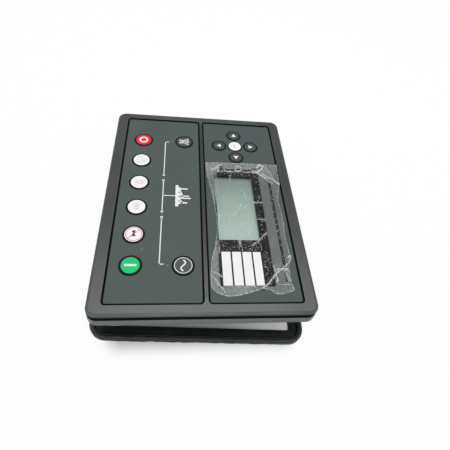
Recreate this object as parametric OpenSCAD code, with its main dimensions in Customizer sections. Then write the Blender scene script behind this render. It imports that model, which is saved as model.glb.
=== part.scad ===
// Generator set controller for a cut-out in a control panel, lying on its back.
// X runs along the fascia, Y up the fascia and Z out of its face. The back rests on z = 0.

/* [Front bezel] */
// Overlap of the bezel past the rear case at each end
bezel_over_l = 11.05; // [9:0.05:14]
// Overlap of the bezel past the rear case above and below
bezel_over_w = 12.5; // [9:0.05:14]
// Depth of the bezel in front of the control panel
bezel_d = 15; // [14:0.5:20]
// Corner radius of the bezel's outline
bezel_corner_r = 9.5; // [7:0.5:14]
// Rounding of the bezel's front edge
bezel_edge_r = 2.5; // [1.5:0.5:4]
// Depth of the bezel's skirt, next to the control panel
skirt_d = 7.6; // [5:0.1:8]
// Distance that the skirt's front edge stands proud of the bezel's front part
skirt_proud = 0.4; // [0.1:0.05:0.8]
// Flare of the skirt from its front edge to its rear edge
skirt_flare = 0.6; // [0.1:0.05:1]
// Thickness of the front plate at the rim
plate_t = 3.7; // [3.4:0.1:4.2]
// Thickness of the bezel's outer wall
bezel_wall = 2; // [1.5:0.1:2.6]
// Thickness of the bezel's inner wall, around the rear case
collar_wall = 2.2; // [1.5:0.1:2.6]
// Thickness of the ribs that join the two walls
bezel_rib_t = 1.5; // [1:0.1:3]
// Spacing of those ribs
bezel_rib_pitch = 21; // [15:1:40]

/* [Fascia panels] */
// Width of the bezel's rim at its two ends
end_rim_w = 9.8; // [8:0.05:12]
// Width of the bezel's rim above and below
side_rim_w = 11.9; // [10:0.05:13]
// Thickness of each printed fascia sheet
overlay_t = 0.6; // [0.3:0.05:0.8]
// Corner radius of the fascia sheets
overlay_r = 2.2; // [1:0.1:4]
// Depth of the fascia recess below the rim
recess_d = 1.4; // [1.2:0.1:1.6]
// Width of the groove around each fascia sheet
groove_w = 1.2; // [0.6:0.1:1.4]
// Depth of that groove below the recess
groove_d = 1; // [0.4:0.1:1.2]
// Width of the web between the two recesses
divider_w = 3; // [1.5:0.1:4]

/* [Keys] */
// Diameter of the mode keys and the supply keys
mode_key_d = 17.3; // [15:0.1:18]
// Distance of the first and last mode key from the ends of the fascia sheet
key_end_inset = 33.3; // [30:0.05:40]
// Distance of the mode keys' row from the lower edge of the fascia sheet
mode_row_inset = 17.65; // [16:0.05:19]
// Distance of the supply keys' row from the upper edge of the fascia sheet
supply_row_inset = 15.7; // [15:0.1:16.5]
// Gap around a mode key in the fascia
mode_key_gap = 0.4; // [0.2:0.05:0.6]
// Width of a mode key's retaining flange
mode_flange_w = 1.3; // [0.9:0.05:1.4]
// Diameter of the menu keys
menu_key_d = 14.6; // [12:0.1:14.8]
// Distance from the info key to each arrow key
menu_key_pitch = 17.3; // [17.2:0.1:18]
// Gap around a menu key in the fascia
menu_key_gap = 0.3; // [0.15:0.05:0.45]
// Width of a menu key's retaining flange
menu_flange_w = 0.7; // [0.6:0.05:0.8]
// Travel of every key
key_travel = 1.2; // [0.6:0.05:1.2]
// Height of a key above the fascia sheet
key_proud = 0.3; // [0.1:0.05:0.8]
// Rounding of a key's top edge
key_edge_r = 0.6; // [0.2:0.05:1]
// Distance of the info key from the left edge of its fascia sheet
menu_inset = 36.3; // [35.5:0.05:37.5]
// Distance of the info key below the middle of its fascia sheet
menu_drop = 4.1; // [0:0.1:5]

/* [Display] */
// Distance of the glossy window from the right arrow key
window_key_gap = 15.4; // [12:0.1:20]
// Height of the glossy window above the display's visible area
window_head = 7.3; // [5:0.1:9]
// Distance of the window from the right edge of its fascia sheet
window_inset_x = 14.3; // [12:0.1:15]
// Distance of the window from the lower edge of its fascia sheet
window_inset_y = 8.9; // [8:0.1:10]
// Length of the lamp bay between the display's visible area and the label card
lamp_bay_l = 11.2; // [9:0.1:14]
// Height of the display's visible area
lcd_view_w = 37.3; // [34:0.1:38]
// Distance of the visible area from the window's left edge
lcd_inset_x = 5; // [4.5:0.1:6]
// Distance of the visible area from the window's lower edge
lcd_inset_y = 1.3; // [1.2:0.1:3]
// Length of the paper label card
card_l = 33.4; // [31:0.1:34]
// Distance of the loose protective film from the right arrow key
film_key_gap = 1.45; // [1:0.05:10]
// Distance of the loose protective film from the right edge of its fascia sheet
film_right_gap = 5.25; // [3:0.05:12]

/* [Rear case] */
// Length of the rear case, which passes through the panel's cut-out
case_l = 218.5; // [216:0.5:219]
// Height of the rear case
case_w = 158.5; // [157:0.5:160]
// Depth of the rear case behind the control panel
case_d = 26.7; // [26:0.1:32]
// Wall thickness of the rear case
case_t = 2.5; // [2:0.1:2.8]
// Corner radius of the rear case
case_r = 3; // [2.6:0.1:5]
// Width of the step at the ends of the raised middle of the back
shelf_end_w = 11.25; // [10:0.25:30]
// Width of the step above and below the raised middle, where the headers come through
shelf_w = 23.25; // [22:0.25:30]

/* [Circuit boards] */
// Thickness of both circuit boards
board_t = 1.6; // [1.2:0.1:1.8]
// Gap between a circuit board's edge and the case wall
board_edge_gap = 3.75; // [3:0.05:4.5]
// Height of the terminal headers
header_h = 12; // [11:0.1:12.5]
// Width of the terminal headers
header_w = 12; // [11:0.1:12.4]
// Wall thickness of the terminal headers
header_wall = 1; // [0.8:0.05:1.2]
// Spacing of the terminals
way_pitch = 5.08; // [5:0.01:5.08]

/* [Panel gasket] */
// Height of the gasket's outer lip
gasket_h = 5.5; // [4:0.1:5.6]
// Thickness of the gasket's inner flange
gasket_flange_t = 1.8; // [1:0.1:2.5]
// Width of the gasket's outer lip
gasket_lip_w = 4.5; // [3:0.1:5]
// Width of the gasket all round
gasket_border = 12.3; // [11:0.1:14]
// Amount by which the gasket's hole is smaller than the rear case, at each side
gasket_grip = 0.75; // [0.25:0.05:1]
// Shift of the loose gasket along the fascia
gasket_shift_x = 6.3; // [0:0.1:7]
// Shift of the loose gasket up the fascia
gasket_shift_y = 1.5; // [0:0.1:2]

/* [Hidden] */
$fn = 48;
crown_fn = 44;
least_r = 0.5;
overrun = 1;

// Outlines of the bezel, the fascia sheets and the raised middle of the back
bezel_l = case_l + 2 * bezel_over_l;
bezel_w = case_w + 2 * bezel_over_w;
overlay_l = bezel_l - 2 * (end_rim_w + groove_w);
overlay_w = (bezel_w - divider_w) / 2 - side_rim_w - 2 * groove_w;
block_l = case_l - 2 * shelf_end_w;
block_w = case_w - 2 * shelf_w;
skirt_edge_t = 0.5;

// Heights of the layers, from the resting back to the front
front_z = case_d + bezel_d;
panel_z = case_d;
plate_z = front_z - plate_t;
recess_z = front_z - recess_d;
groove_z = recess_z - groove_d;
overlay_z = recess_z + overlay_t;
mat_t = 3.4;
display_board_top = plate_z - mat_t;
display_board_z = display_board_top - board_t;
header_sink = 0.8;
main_board_z = header_sink + header_h;
main_board_top = main_board_z + board_t;
gasket_gap = 0.3;
shelf_z = gasket_h + gasket_gap;

// Plan of the fascia
panel_y = overlay_w / 2 + groove_w + divider_w / 2;
overlay_gap = 0.15;
rim_r = overlay_r + groove_w;
mode_row_y = -panel_y - overlay_w / 2 + mode_row_inset;
supply_row_y = -panel_y + overlay_w / 2 - supply_row_inset;
menu_x = -overlay_l / 2 + menu_inset;
menu_y = panel_y - menu_drop;
window_r = 1;
window_gap = 0.1;
window_seat = 0.8;
arrow_edge_x = menu_x + menu_key_pitch + menu_key_d / 2;
window_l = overlay_l / 2 - window_inset_x - arrow_edge_x - window_key_gap;
window_w = lcd_inset_y + lcd_view_w + window_head;
window_x = overlay_l / 2 - window_inset_x - window_l / 2;
window_y = panel_y - overlay_w / 2 + window_inset_y + window_w / 2;
pocket_d = 0.4;
pocket_z = recess_z - pocket_d;
card_gap = 0.2;
card_trim = 0.25;
card_w = lcd_view_w - 2 * card_trim;
lcd_view_l = window_l - lcd_inset_x - lamp_bay_l - card_l - card_gap - window_seat;
lcd_x = window_x - window_l / 2 + lcd_inset_x + lcd_view_l / 2;
lcd_y = window_y - window_w / 2 + lcd_inset_y + lcd_view_w / 2;

// Places of the keys
mode_count = 6;
mode_key_pitch = (overlay_l - 2 * key_end_inset) / (mode_count - 1);
last_gap_i = mode_count - 1.5;
function mode_x(i) = (i - (mode_count - 1) / 2) * mode_key_pitch;
MODE_PLACES = [for (i = [0:mode_count - 1]) [mode_x(i), mode_row_y]];
SUPPLY_PLACES = [[mode_x(0), supply_row_y], [mode_x(mode_count - 1), supply_row_y]];
BIG_PLACES = concat(MODE_PLACES, SUPPLY_PLACES);
MENU_STEPS = [[0, 0], [0, 1], [0, -1], [-1, 0], [1, 0]];
MENU_PLACES = [for (s = MENU_STEPS) [menu_x, menu_y] + s * menu_key_pitch];

// Key mouldings and their mats
flange_t = 1.2;
flange_gap = 0.2;
flange_z = plate_z - flange_gap - flange_t;
dome_t = 0.15;
dome_d = 8;
dome_gap = 0.05;
key_foot_z = display_board_top + dome_t + dome_gap + key_travel;
key_top_z = overlay_z + key_proud;
key_wall = 1.5;
plunger_r = 2.6;
key_core_h = 2.4;
mode_mat_gap = 0.5;
menu_mat_gap = 0.3;
mat_border = 2;
mat_r = 3;

// Status lamps: mode lamps beside the keys, supply lamps on the line diagram, alarm lamps by the labels
mode_lamp_dx = 8.2;
mode_lamp_dy = 10.1;
start_lamp_dy = 8;
supply_lamp_dy = 13.1;
switch_lamp_x = 22.5;
switch_lamp_dy = 19.6;
alarm_lamp_gap = 4.1;
alarm_lamp_pitch = 9.15;
MODE_LAMPS = [for (i = [0:3]) MODE_PLACES[i] + [mode_lamp_dx, mode_lamp_dy]];
START_LAMP = [[mode_x(last_gap_i), mode_row_y + start_lamp_dy]];
SUPPLY_LAMPS = [for (p = SUPPLY_PLACES) p - [0, supply_lamp_dy]];
SWITCH_LAMPS = [for (s = [-1, 1]) [s * switch_lamp_x, supply_row_y - switch_lamp_dy]];
FASCIA_LAMPS = concat(MODE_LAMPS, START_LAMP, SUPPLY_LAMPS, SWITCH_LAMPS);
alarm_lamp_x = window_x + window_l / 2 - window_seat - card_gap - card_l - alarm_lamp_gap;
ALARM_LAMPS = [for (i = [-1.5:1.5]) [alarm_lamp_x, lcd_y + i * alarm_lamp_pitch]];
LAMPS = concat(FASCIA_LAMPS, ALARM_LAMPS);
pipe_r = 1;
pipe_gap = 0.05;
pipe_flange_w = 0.6;
pipe_flange_t = 1.1;
pipe_mat_gap = 0.4;
led_size = 1.6;
led_h = 0.8;
led_gap = 0.3;

// Display module and label card
lcd_border = 2.5;
lcd_frame_wall = 1.5;
lcd_frame_gap = 0.1;
lcd_window_gap = 0.3;
lcd_glass_t = 1.8;
lcd_light_t = 1.5;
lcd_fit = 0.1;
lcd_lip = 1;
card_t = 0.3;
film_t = 0.2;
film_lift = 0.05;
film_drop = 0.2;
film_trim = 1.35;
film_l = overlay_l / 2 - film_right_gap - arrow_edge_x - film_key_gap;
film_w = overlay_w - film_trim;

// Rear case, posts, bosses and screws
case_fit = 0.3;
seal_t = 1;
case_top = plate_z - seal_t;
seal_w = 2;
block_r = 4;
post_r = 4;
post_bite = 0.5;
post_x = case_l / 2 - case_t - post_r + post_bite;
post_y = case_w / 2 - case_t - post_r + post_bite;
bezel_boss_h = 2;
bezel_boss_r = post_r - post_bite - case_fit;
screw_r = 1.4;
screw_gap = 0.05;
screw_clear = 0.3;
screw_head_r = 2.8;
screw_head_t = 2;
screw_bite = 3.4;
head_sink = 3;
board_boss_r = 3;
board_screw_r = 1.2;
board_head_r = 2.3;
board_head_t = 1.5;
display_boss_x = mode_x(last_gap_i);
display_boss_inset = 10.25;
display_boss_y = case_w / 2 - display_boss_inset;
main_boss_inset = 8;
board_bite = 4;
DISPLAY_BOSSES = [for (sx = [-1, 1], sy = [-1, 1]) [sx * display_boss_x, sy * display_boss_y]];
MAIN_BOSSES = [for (sx = [-1, 1], sy = [-1, 1])
    [sx * (block_l / 2 - main_boss_inset), sy * (block_w / 2 - main_boss_inset)]];
POSTS = [for (sx = [-1, 1], sy = [-1, 1]) [sx * post_x, sy * post_y]];
board_l = case_l - 2 * case_t - 2 * board_edge_gap;
board_w = case_w - 2 * case_t - 2 * board_edge_gap;
board_r = 2;
notch_gap = 0.5;

// Slots in the case for the panel fixing clips
clip_slot_w = 3.2;
clip_slot_h = 8;
clip_slot_pitch = 7;
clip_slot_top_gap = 6;
clip_x = 62;

// Terminal headers and sockets, in two rows on the back
header_end = 1;
header_floor = 3;
header_gap = 6;
header_block_gap = 3.5;
header_row_y = block_w / 2 + header_block_gap + header_w / 2;
header_slot_gap = 0.3;
pin_w = 1;
pin_gap = 0.05;
pin_offset = 2.5;
pin_tip = 2;
pin_tail = 1;
pin_hole_r = 0.8;
key_slot_w = 2;
key_slot_h = 3;
usb_l = 12;
usb_w = 11;
usb_bore_l = 8.5;
usb_bore_w = 7.8;
usb_tongue_l = 5.6;
usb_tongue_w = 3.2;
usb_wall = 0.6;
usb_chamfer = 1.6;
serial_l = 30.8;
serial_w = 11.5;
serial_shell_l = 18.5;
serial_shell_w = 9.9;
serial_wall = 0.7;
serial_flange_t = 4;
serial_pin_r = 0.5;
serial_pin_pitch = 2.77;
serial_pin_drop = 2.84;
serial_post_x = 12.5;
serial_post_r = 2.4;
LOWER_WAYS = [13, 8, 10];
UPPER_WAYS = [6, 8, 5];
function header_l(ways) = ways * way_pitch + 2 * header_end;
function total(v, n) = n <= 0 ? 0 : v[n - 1] + total(v, n - 1);
function row_x(v, i) = total(v, i) + i * header_gap + v[i] / 2
    - (total(v, len(v)) + (len(v) - 1) * header_gap) / 2;
LOWER_ROW = [for (w = LOWER_WAYS) header_l(w)];
UPPER_ROW = [header_l(UPPER_WAYS[0]), header_l(UPPER_WAYS[1]), usb_l, header_l(UPPER_WAYS[2]), serial_l];
HEADERS = [
    [row_x(LOWER_ROW, 0), -1, LOWER_WAYS[0]],
    [row_x(LOWER_ROW, 1), -1, LOWER_WAYS[1]],
    [row_x(LOWER_ROW, 2), -1, LOWER_WAYS[2]],
    [row_x(UPPER_ROW, 0), 1, UPPER_WAYS[0]],
    [row_x(UPPER_ROW, 1), 1, UPPER_WAYS[1]],
    [row_x(UPPER_ROW, 3), 1, UPPER_WAYS[2]]
];
usb_x = row_x(UPPER_ROW, 2);
serial_x = row_x(UPPER_ROW, 4);

// Parts on the main board, placed by shares of its length and width
board_gap = display_board_z - main_board_top;
relay_l = 20;
relay_w = 16;
relay_room = 3.6;
relay_h = board_gap - relay_room;
relay_foot = 0.4;
relay_gap = 4;
relay_place_shares = [0.15, -0.24];
transformer_l = 18;
transformer_w = 16;
transformer_room = 1.6;
transformer_h = board_gap - transformer_room;
transformer_core_t = 4;
transformer_gap = 6;
transformer_place_shares = [-0.34, 0.24];
capacitor_r = 6.3;
capacitor_room = 2.6;
capacitor_h = board_gap - capacitor_room;
capacitor_groove = 0.5;
capacitor_gap = 5;
capacitor_place_shares = [0.12, 0.24];
choke_r = 8;
choke_wire_r = 3.2;
choke_flat = 0.2;
choke_place_shares = [0.36, 0.24];
chip_w = 20;
chip_t = 1.6;
chip_foot = 0.2;
chip_lead_w = 0.5;
chip_lead_l = 1.2;
chip_lead_t = 0.3;
chip_lead_pitch = 1.3;
chip_leads = 13;
chip_place_shares = [-0.22, 0];
link_ways = 10;
link_pitch = 2.54;
link_w = 5.2;
link_offset = 0.8;
link_base_h = board_gap / 2 - link_offset;
link_pin_w = 0.64;
link_pin_gap = 0.06;
link_pin_bite = 5;
link_gap = 0.1;

// Gasket, turned a little as it lies
gasket_turn = -2.7;
gasket_outer_r = 12.5;
gasket_inner_r = 4;
gasket_lip_r = 1.5;
gasket_rib_w = 0.8;
gasket_rib_h = 0.6;
gasket_rib_pitch = 1.7;
gasket_hole_l = case_l - 2 * gasket_grip;
gasket_hole_w = case_w - 2 * gasket_grip;
gasket_l = gasket_hole_l + 2 * gasket_border;
gasket_w = gasket_hole_w + 2 * gasket_border;

// Outline of the film, as shares of its length from the left and of its height from the bottom
film_outline_shares = [
    [0.025, 0.005], [0.0, 0.52], [0.016, 1.0], [0.10, 1.0], [0.233, 0.98], [0.34, 0.93],
    [0.46, 0.93], [0.585, 0.915], [0.735, 0.905], [0.83, 0.895], [0.91, 0.89], [0.965, 0.92],
    [0.98, 0.9], [0.985, 0.78], [0.983, 0.7], [0.965, 0.64], [0.96, 0.55], [0.985, 0.4],
    [1.0, 0.24], [0.995, 0.16], [0.975, 0.07], [0.945, 0.0], [0.87, 0.005], [0.735, 0.035],
    [0.53, 0.095], [0.32, 0.095], [0.178, 0.03], [0.10, 0.005]
];

MODE_KEY_NAMES = ["stop_key", "manual_key", "test_key", "auto_key", "mute_key", "start_key"];
SUPPLY_KEY_NAMES = ["mains_key", "generator_key"];
MENU_KEY_NAMES = ["info_key", "up_key", "down_key", "left_key", "right_key"];
HEADER_NAMES = ["terminal_header_a", "terminal_header_b", "terminal_header_c",
    "terminal_header_d", "terminal_header_e", "terminal_header_f"];
RELAY_NAMES = ["relay_1", "relay_2", "relay_3"];
TRANSFORMER_NAMES = ["current_transformer_1", "current_transformer_2", "current_transformer_3"];
CAPACITOR_NAMES = ["capacitor_1", "capacitor_2"];

// Rectangle with true round corners, centred
module round_rect(l, w, r) {
    square([l - 2 * r, w], center = true);
    square([l, w - 2 * r], center = true);
    for (sx = [-1, 1], sy = [-1, 1])
        translate([sx * (l / 2 - r), sy * (w / 2 - r)]) circle(r);
}

// Plate of that outline between two heights
module slab(l, w, r, z0, z1) {
    translate([0, 0, z0]) linear_extrude(z1 - z0) round_rect(l, w, r);
}

// Ring between an outer outline and one that is inset by t
module frame_ring(l, w, r, t, z0, z1) {
    translate([0, 0, z0]) linear_extrude(z1 - z0) difference() {
        round_rect(l, w, r);
        round_rect(l - 2 * t, w - 2 * t, max(r - t, least_r));
    }
}

// Upright cylinder between two heights at a place on the plan
module peg(p, r, z0, z1) {
    translate([p.x, p.y, z0]) cylinder(r = r, h = z1 - z0);
}

// Bezel: a moulded frame with a rounded front edge over a skirt that flares towards the panel
module bezel_shell() {
    corner_r = bezel_corner_r - skirt_flare - skirt_proud;
    hull() {
        for (sx = [-1, 1], sy = [-1, 1])
            translate([sx * (bezel_l / 2 - bezel_corner_r), sy * (bezel_w / 2 - bezel_corner_r), panel_z])
                rotate_extrude($fn = crown_fn) intersection() {
                    square([corner_r, bezel_d]);
                    union() {
                        square([corner_r, bezel_d - bezel_edge_r]);
                        square([corner_r - bezel_edge_r, bezel_d]);
                        translate([corner_r - bezel_edge_r, bezel_d - bezel_edge_r])
                            circle(bezel_edge_r, $fn = crown_fn);
                    }
                }
    }
    hull() {
        slab(bezel_l, bezel_w, bezel_corner_r, panel_z, panel_z + skirt_edge_t);
        slab(bezel_l - 2 * skirt_flare, bezel_w - 2 * skirt_flare, bezel_corner_r - skirt_flare,
            panel_z + skirt_d - skirt_edge_t, panel_z + skirt_d);
    }
}

// Hollow in the bezel's rear edge, left open between the ribs
module bezel_core() {
    core_inset = bezel_wall + skirt_flare + skirt_proud;
    core_l = bezel_l - 2 * core_inset;
    core_w = bezel_w - 2 * core_inset;
    collar_l = case_l + 2 * case_fit + 2 * collar_wall;
    collar_w = case_w + 2 * case_fit + 2 * collar_wall;
    rib_n = floor(collar_l / 2 / bezel_rib_pitch);
    rib_m = floor(collar_w / 2 / bezel_rib_pitch);
    difference() {
        translate([0, 0, panel_z - overrun]) linear_extrude(plate_z - panel_z + overrun) difference() {
            round_rect(core_l, core_w, bezel_corner_r - core_inset);
            round_rect(collar_l, collar_w, case_r + collar_wall);
        }
        for (i = [-rib_n:rib_n])
            translate([i * bezel_rib_pitch - bezel_rib_t / 2, -bezel_w / 2, panel_z - 2 * overrun])
                cube([bezel_rib_t, bezel_w, bezel_d]);
        for (i = [-rib_m:rib_m])
            translate([-bezel_l / 2, i * bezel_rib_pitch - bezel_rib_t / 2, panel_z - 2 * overrun])
                cube([bezel_l, bezel_rib_t, bezel_d]);
    }
}

// Recess and groove for one fascia sheet
module fascia_recess(y) {
    translate([0, y, 0]) {
        slab(overlay_l, overlay_w, overlay_r, recess_z, front_z + overrun);
        frame_ring(overlay_l + 2 * groove_w, overlay_w + 2 * groove_w, rim_r, groove_w,
            groove_z, front_z + overrun);
    }
}

module front_bezel() {
    color("#4b4f4e") difference() {
        union() {
            difference() {
                bezel_shell();
                slab(case_l + 2 * case_fit, case_w + 2 * case_fit, case_r + case_fit,
                    panel_z - overrun, plate_z);
                bezel_core();
                fascia_recess(-panel_y);
                fascia_recess(panel_y);
            }
            for (p = POSTS) peg(p, bezel_boss_r, plate_z - bezel_boss_h, plate_z + overrun);
            for (p = DISPLAY_BOSSES) peg(p, board_boss_r, display_board_top, plate_z + overrun);
        }
        for (p = POSTS) peg(p, screw_r + screw_gap, plate_z - bezel_boss_h - overrun,
            plate_z - bezel_boss_h + screw_bite + screw_gap);
        for (p = DISPLAY_BOSSES) peg(p, board_screw_r + screw_gap, display_board_top - overrun,
            display_board_top + board_bite + screw_gap);
        for (p = BIG_PLACES) peg(p, mode_key_d / 2 + mode_key_gap, plate_z - overrun, front_z);
        for (p = MENU_PLACES) peg(p, menu_key_d / 2 + menu_key_gap, plate_z - overrun, front_z);
        for (p = LAMPS) peg(p, pipe_r + pipe_gap, plate_z - overrun, front_z);
        translate([window_x, window_y, 0])
            slab(window_l - 2 * window_seat, window_w - 2 * window_seat, window_r, pocket_z, front_z);
        translate([lcd_x, lcd_y, 0])
            slab(lcd_view_l + 2 * lcd_window_gap, lcd_view_w + 2 * lcd_window_gap, window_r / 2,
                plate_z - overrun, front_z);
    }
}

// Fascia sheet with holes for the keys and lamps at its places
module fascia_sheet(y, key_places, key_hole_r, lamp_places) {
    difference() {
        translate([0, y, 0])
            slab(overlay_l - 2 * overlay_gap, overlay_w - 2 * overlay_gap, overlay_r - overlay_gap,
                recess_z, overlay_z);
        for (p = key_places) peg(p, key_hole_r, recess_z - overrun, overlay_z + overrun);
        for (p = lamp_places) peg(p, pipe_r + pipe_gap, recess_z - overrun, overlay_z + overrun);
    }
}

module mode_overlay() {
    color("#3c4443") fascia_sheet(-panel_y, BIG_PLACES, mode_key_d / 2 + mode_key_gap, FASCIA_LAMPS);
}

module display_overlay() {
    color("#3c4443") difference() {
        fascia_sheet(panel_y, MENU_PLACES, menu_key_d / 2 + menu_key_gap, []);
        translate([window_x, window_y, 0])
            slab(window_l, window_w, window_r, recess_z - overrun, overlay_z + overrun);
    }
}

module display_window() {
    color("#14181a") translate([window_x, window_y, 0])
        slab(window_l - 2 * window_gap, window_w - 2 * window_gap, window_r - window_gap, recess_z, overlay_z);
}

// Paper card under the right end of the window
module label_card() {
    card_x = window_x + window_l / 2 - window_seat - card_gap - card_l / 2;
    color("white") translate([card_x, lcd_y, 0])
        slab(card_l, card_w, window_r / 2, pocket_z, pocket_z + card_t);
}

// Thin film that lies over the display end of the fascia
module protective_film() {
    film_x = overlay_l / 2 - film_right_gap - film_l;
    film_y = panel_y - overlay_w / 2 + film_drop;
    color([0.8, 0.83, 0.83, 0.5]) translate([film_x, film_y, overlay_z + film_lift])
        linear_extrude(film_t)
            polygon([for (s = film_outline_shares) [s.x * film_l, s.y * film_w]]);
}

// Key: a round cap with a retaining flange and a plunger under its hollow
module key_cap(p, d, flange_w) {
    top = key_top_z - key_foot_z;
    translate([p.x, p.y, key_foot_z]) rotate_extrude() difference() {
        union() {
            square([d / 2 - key_edge_r, top]);
            square([d / 2, top - key_edge_r]);
            translate([d / 2 - key_edge_r, top - key_edge_r]) circle(key_edge_r);
            translate([0, flange_z - key_foot_z]) square([d / 2 + flange_w, flange_t]);
        }
        translate([plunger_r, -overrun]) square([d / 2 - key_wall - plunger_r, key_core_h + overrun]);
    }
}

module mode_key(i, tint) {
    color(tint) key_cap(MODE_PLACES[i], mode_key_d, mode_flange_w);
}

module supply_key(i) {
    color("#262b2b") key_cap(SUPPLY_PLACES[i], mode_key_d, mode_flange_w);
}

module menu_key(i, tint) {
    color(tint) key_cap(MENU_PLACES[i], menu_key_d, menu_flange_w);
}

// Rubber mat between the display board and the front plate, open around its keys, lamps and bosses
module key_mat(centre, l, w, places, hole_r, lamp_places) {
    color("#1a1c1d") difference() {
        translate([centre.x, centre.y, 0]) slab(l, w, mat_r, display_board_top, plate_z);
        for (p = places) peg(p, hole_r, display_board_top - overrun, plate_z + overrun);
        for (p = lamp_places)
            peg(p, pipe_r + pipe_flange_w + pipe_mat_gap, display_board_top - overrun, plate_z + overrun);
        for (p = DISPLAY_BOSSES)
            peg(p, board_boss_r + pipe_mat_gap, display_board_top - overrun, plate_z + overrun);
        for (p = POSTS) peg(p, post_r + pipe_mat_gap, display_board_top - overrun, plate_z + overrun);
    }
}

module mode_key_mat() {
    hole_r = mode_key_d / 2 + mode_flange_w + mode_mat_gap;
    mat_l = (mode_count - 1) * mode_key_pitch + 2 * (hole_r + mat_border);
    mat_w = supply_row_y - mode_row_y + 2 * (hole_r + mat_border);
    key_mat([0, (mode_row_y + supply_row_y) / 2], mat_l, mat_w, BIG_PLACES, hole_r, FASCIA_LAMPS);
}

module menu_key_mat() {
    hole_r = menu_key_d / 2 + menu_flange_w + menu_mat_gap;
    mat_l = 2 * (menu_key_pitch + hole_r + mat_border);
    key_mat([menu_x, menu_y], mat_l, mat_l, MENU_PLACES, hole_r, []);
}

// Metal snap dome on the board under each key
module snap_domes() {
    color("silver") for (p = concat(BIG_PLACES, MENU_PLACES))
        peg(p, dome_d / 2, display_board_top, display_board_top + dome_t);
}

// Clear pins that carry each lamp's light to the fascia
module light_pipe(p, top) {
    peg(p, pipe_r, display_board_top + led_h + led_gap, top);
    peg(p, pipe_r + pipe_flange_w, plate_z - pipe_flange_t, plate_z);
}

module light_pipes() {
    color("#c9cfc8") {
        for (p = FASCIA_LAMPS) light_pipe(p, overlay_z);
        for (p = ALARM_LAMPS) light_pipe(p, pocket_z);
    }
}

module status_leds() {
    color("#d8d29a") for (p = LAMPS)
        translate([p.x - led_size / 2, p.y - led_size / 2, display_board_top])
            cube([led_size, led_size, led_h]);
}

// Display module: a metal frame around the glass and its light guide
module lcd_frame() {
    glass_l = lcd_view_l + 2 * lcd_border;
    glass_w = lcd_view_w + 2 * lcd_border;
    top = plate_z - lcd_frame_gap;
    color("#9aa0a2") translate([lcd_x, lcd_y, 0]) difference() {
        slab(glass_l + 2 * lcd_frame_wall, glass_w + 2 * lcd_frame_wall, window_r, display_board_top, top);
        slab(glass_l + 2 * lcd_fit, glass_w + 2 * lcd_fit, window_r / 2, display_board_top - overrun,
            display_board_top + lcd_light_t + lcd_glass_t - lcd_fit);
        slab(lcd_view_l + 2 * lcd_lip, lcd_view_w + 2 * lcd_lip, window_r / 2, display_board_top, top + overrun);
    }
}

module lcd_glass() {
    color("#9fb2a8") translate([lcd_x, lcd_y, 0])
        slab(lcd_view_l + 2 * lcd_border, lcd_view_w + 2 * lcd_border, window_r / 2,
            display_board_top + lcd_light_t, display_board_top + lcd_light_t + lcd_glass_t - 2 * lcd_fit);
}

module lcd_backlight() {
    color("#e8efe2") translate([lcd_x, lcd_y, 0])
        slab(lcd_view_l + 2 * lcd_border, lcd_view_w + 2 * lcd_border, window_r / 2,
            display_board_top, display_board_top + lcd_light_t);
}

// Circuit board blank, notched at the corner posts
module board_blank(z) {
    notch = post_r + notch_gap;
    difference() {
        slab(board_l, board_w, board_r, z, z + board_t);
        for (sx = [-1, 1], sy = [-1, 1])
            translate([sx * (post_x + board_l / 2), sy * (post_y + board_w / 2), z + board_t / 2])
                cube([board_l + 2 * notch, board_w + 2 * notch, board_t + 2 * overrun], center = true);
    }
}

module display_board() {
    color("#1f5a3c") difference() {
        board_blank(display_board_z);
        for (p = DISPLAY_BOSSES)
            peg(p, board_screw_r + screw_clear, display_board_z - overrun, display_board_top + overrun);
    }
}

module main_board() {
    color("#1f5a3c") difference() {
        board_blank(main_board_z);
        for (p = MAIN_BOSSES)
            peg(p, board_screw_r + screw_clear, main_board_z - overrun, main_board_top + overrun);
        for (h = HEADERS, i = [0:h[2] - 1])
            peg(pin_place(h, i), pin_hole_r, main_board_z - overrun, main_board_top + overrun);
    }
}

// Board link: a pin header on the main board and its socket on the display board
module link_grid(w, z0, z1) {
    for (i = [0:link_ways - 1], s = [-1, 1])
        translate([(i - (link_ways - 1) / 2) * link_pitch - w / 2, s * link_pitch / 2 - w / 2, z0])
            cube([w, w, z1 - z0]);
}

module board_link_header() {
    link_l = link_ways * link_pitch;
    color("#20242a") {
        translate([-link_l / 2, -link_w / 2, main_board_top]) cube([link_l, link_w, link_base_h]);
        link_grid(link_pin_w, main_board_top, main_board_top + link_base_h + link_pin_bite);
    }
}

module board_link_socket() {
    link_l = link_ways * link_pitch;
    z0 = main_board_top + link_base_h + link_gap;
    color("#20242a") difference() {
        translate([-link_l / 2, -link_w / 2, z0]) cube([link_l, link_w, display_board_z - z0]);
        link_grid(link_pin_w + 2 * link_pin_gap, z0 - overrun, z0 + link_pin_bite + overrun);
    }
}

// Place on the main board from a pair of shares
function board_place(shares) = [shares.x * board_l, shares.y * board_w];

// Sealed relay with a moulded foot and a vent nib
module relay(i) {
    p = board_place(relay_place_shares);
    nib_r = relay_w / 12;
    color("#2b2f6e") translate([p.x + i * (relay_w + relay_gap), p.y, main_board_top]) {
        translate([-relay_w / 2, -relay_l / 2, 0]) cube([relay_w, relay_l, relay_h]);
        translate([-relay_w / 2 - relay_foot, -relay_l / 2 - relay_foot, 0])
            cube([relay_w + 2 * relay_foot, relay_l + 2 * relay_foot, 2 * relay_foot]);
        translate([relay_w / 4, relay_l / 4, relay_h]) cylinder(r = nib_r, h = relay_foot);
    }
}

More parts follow.
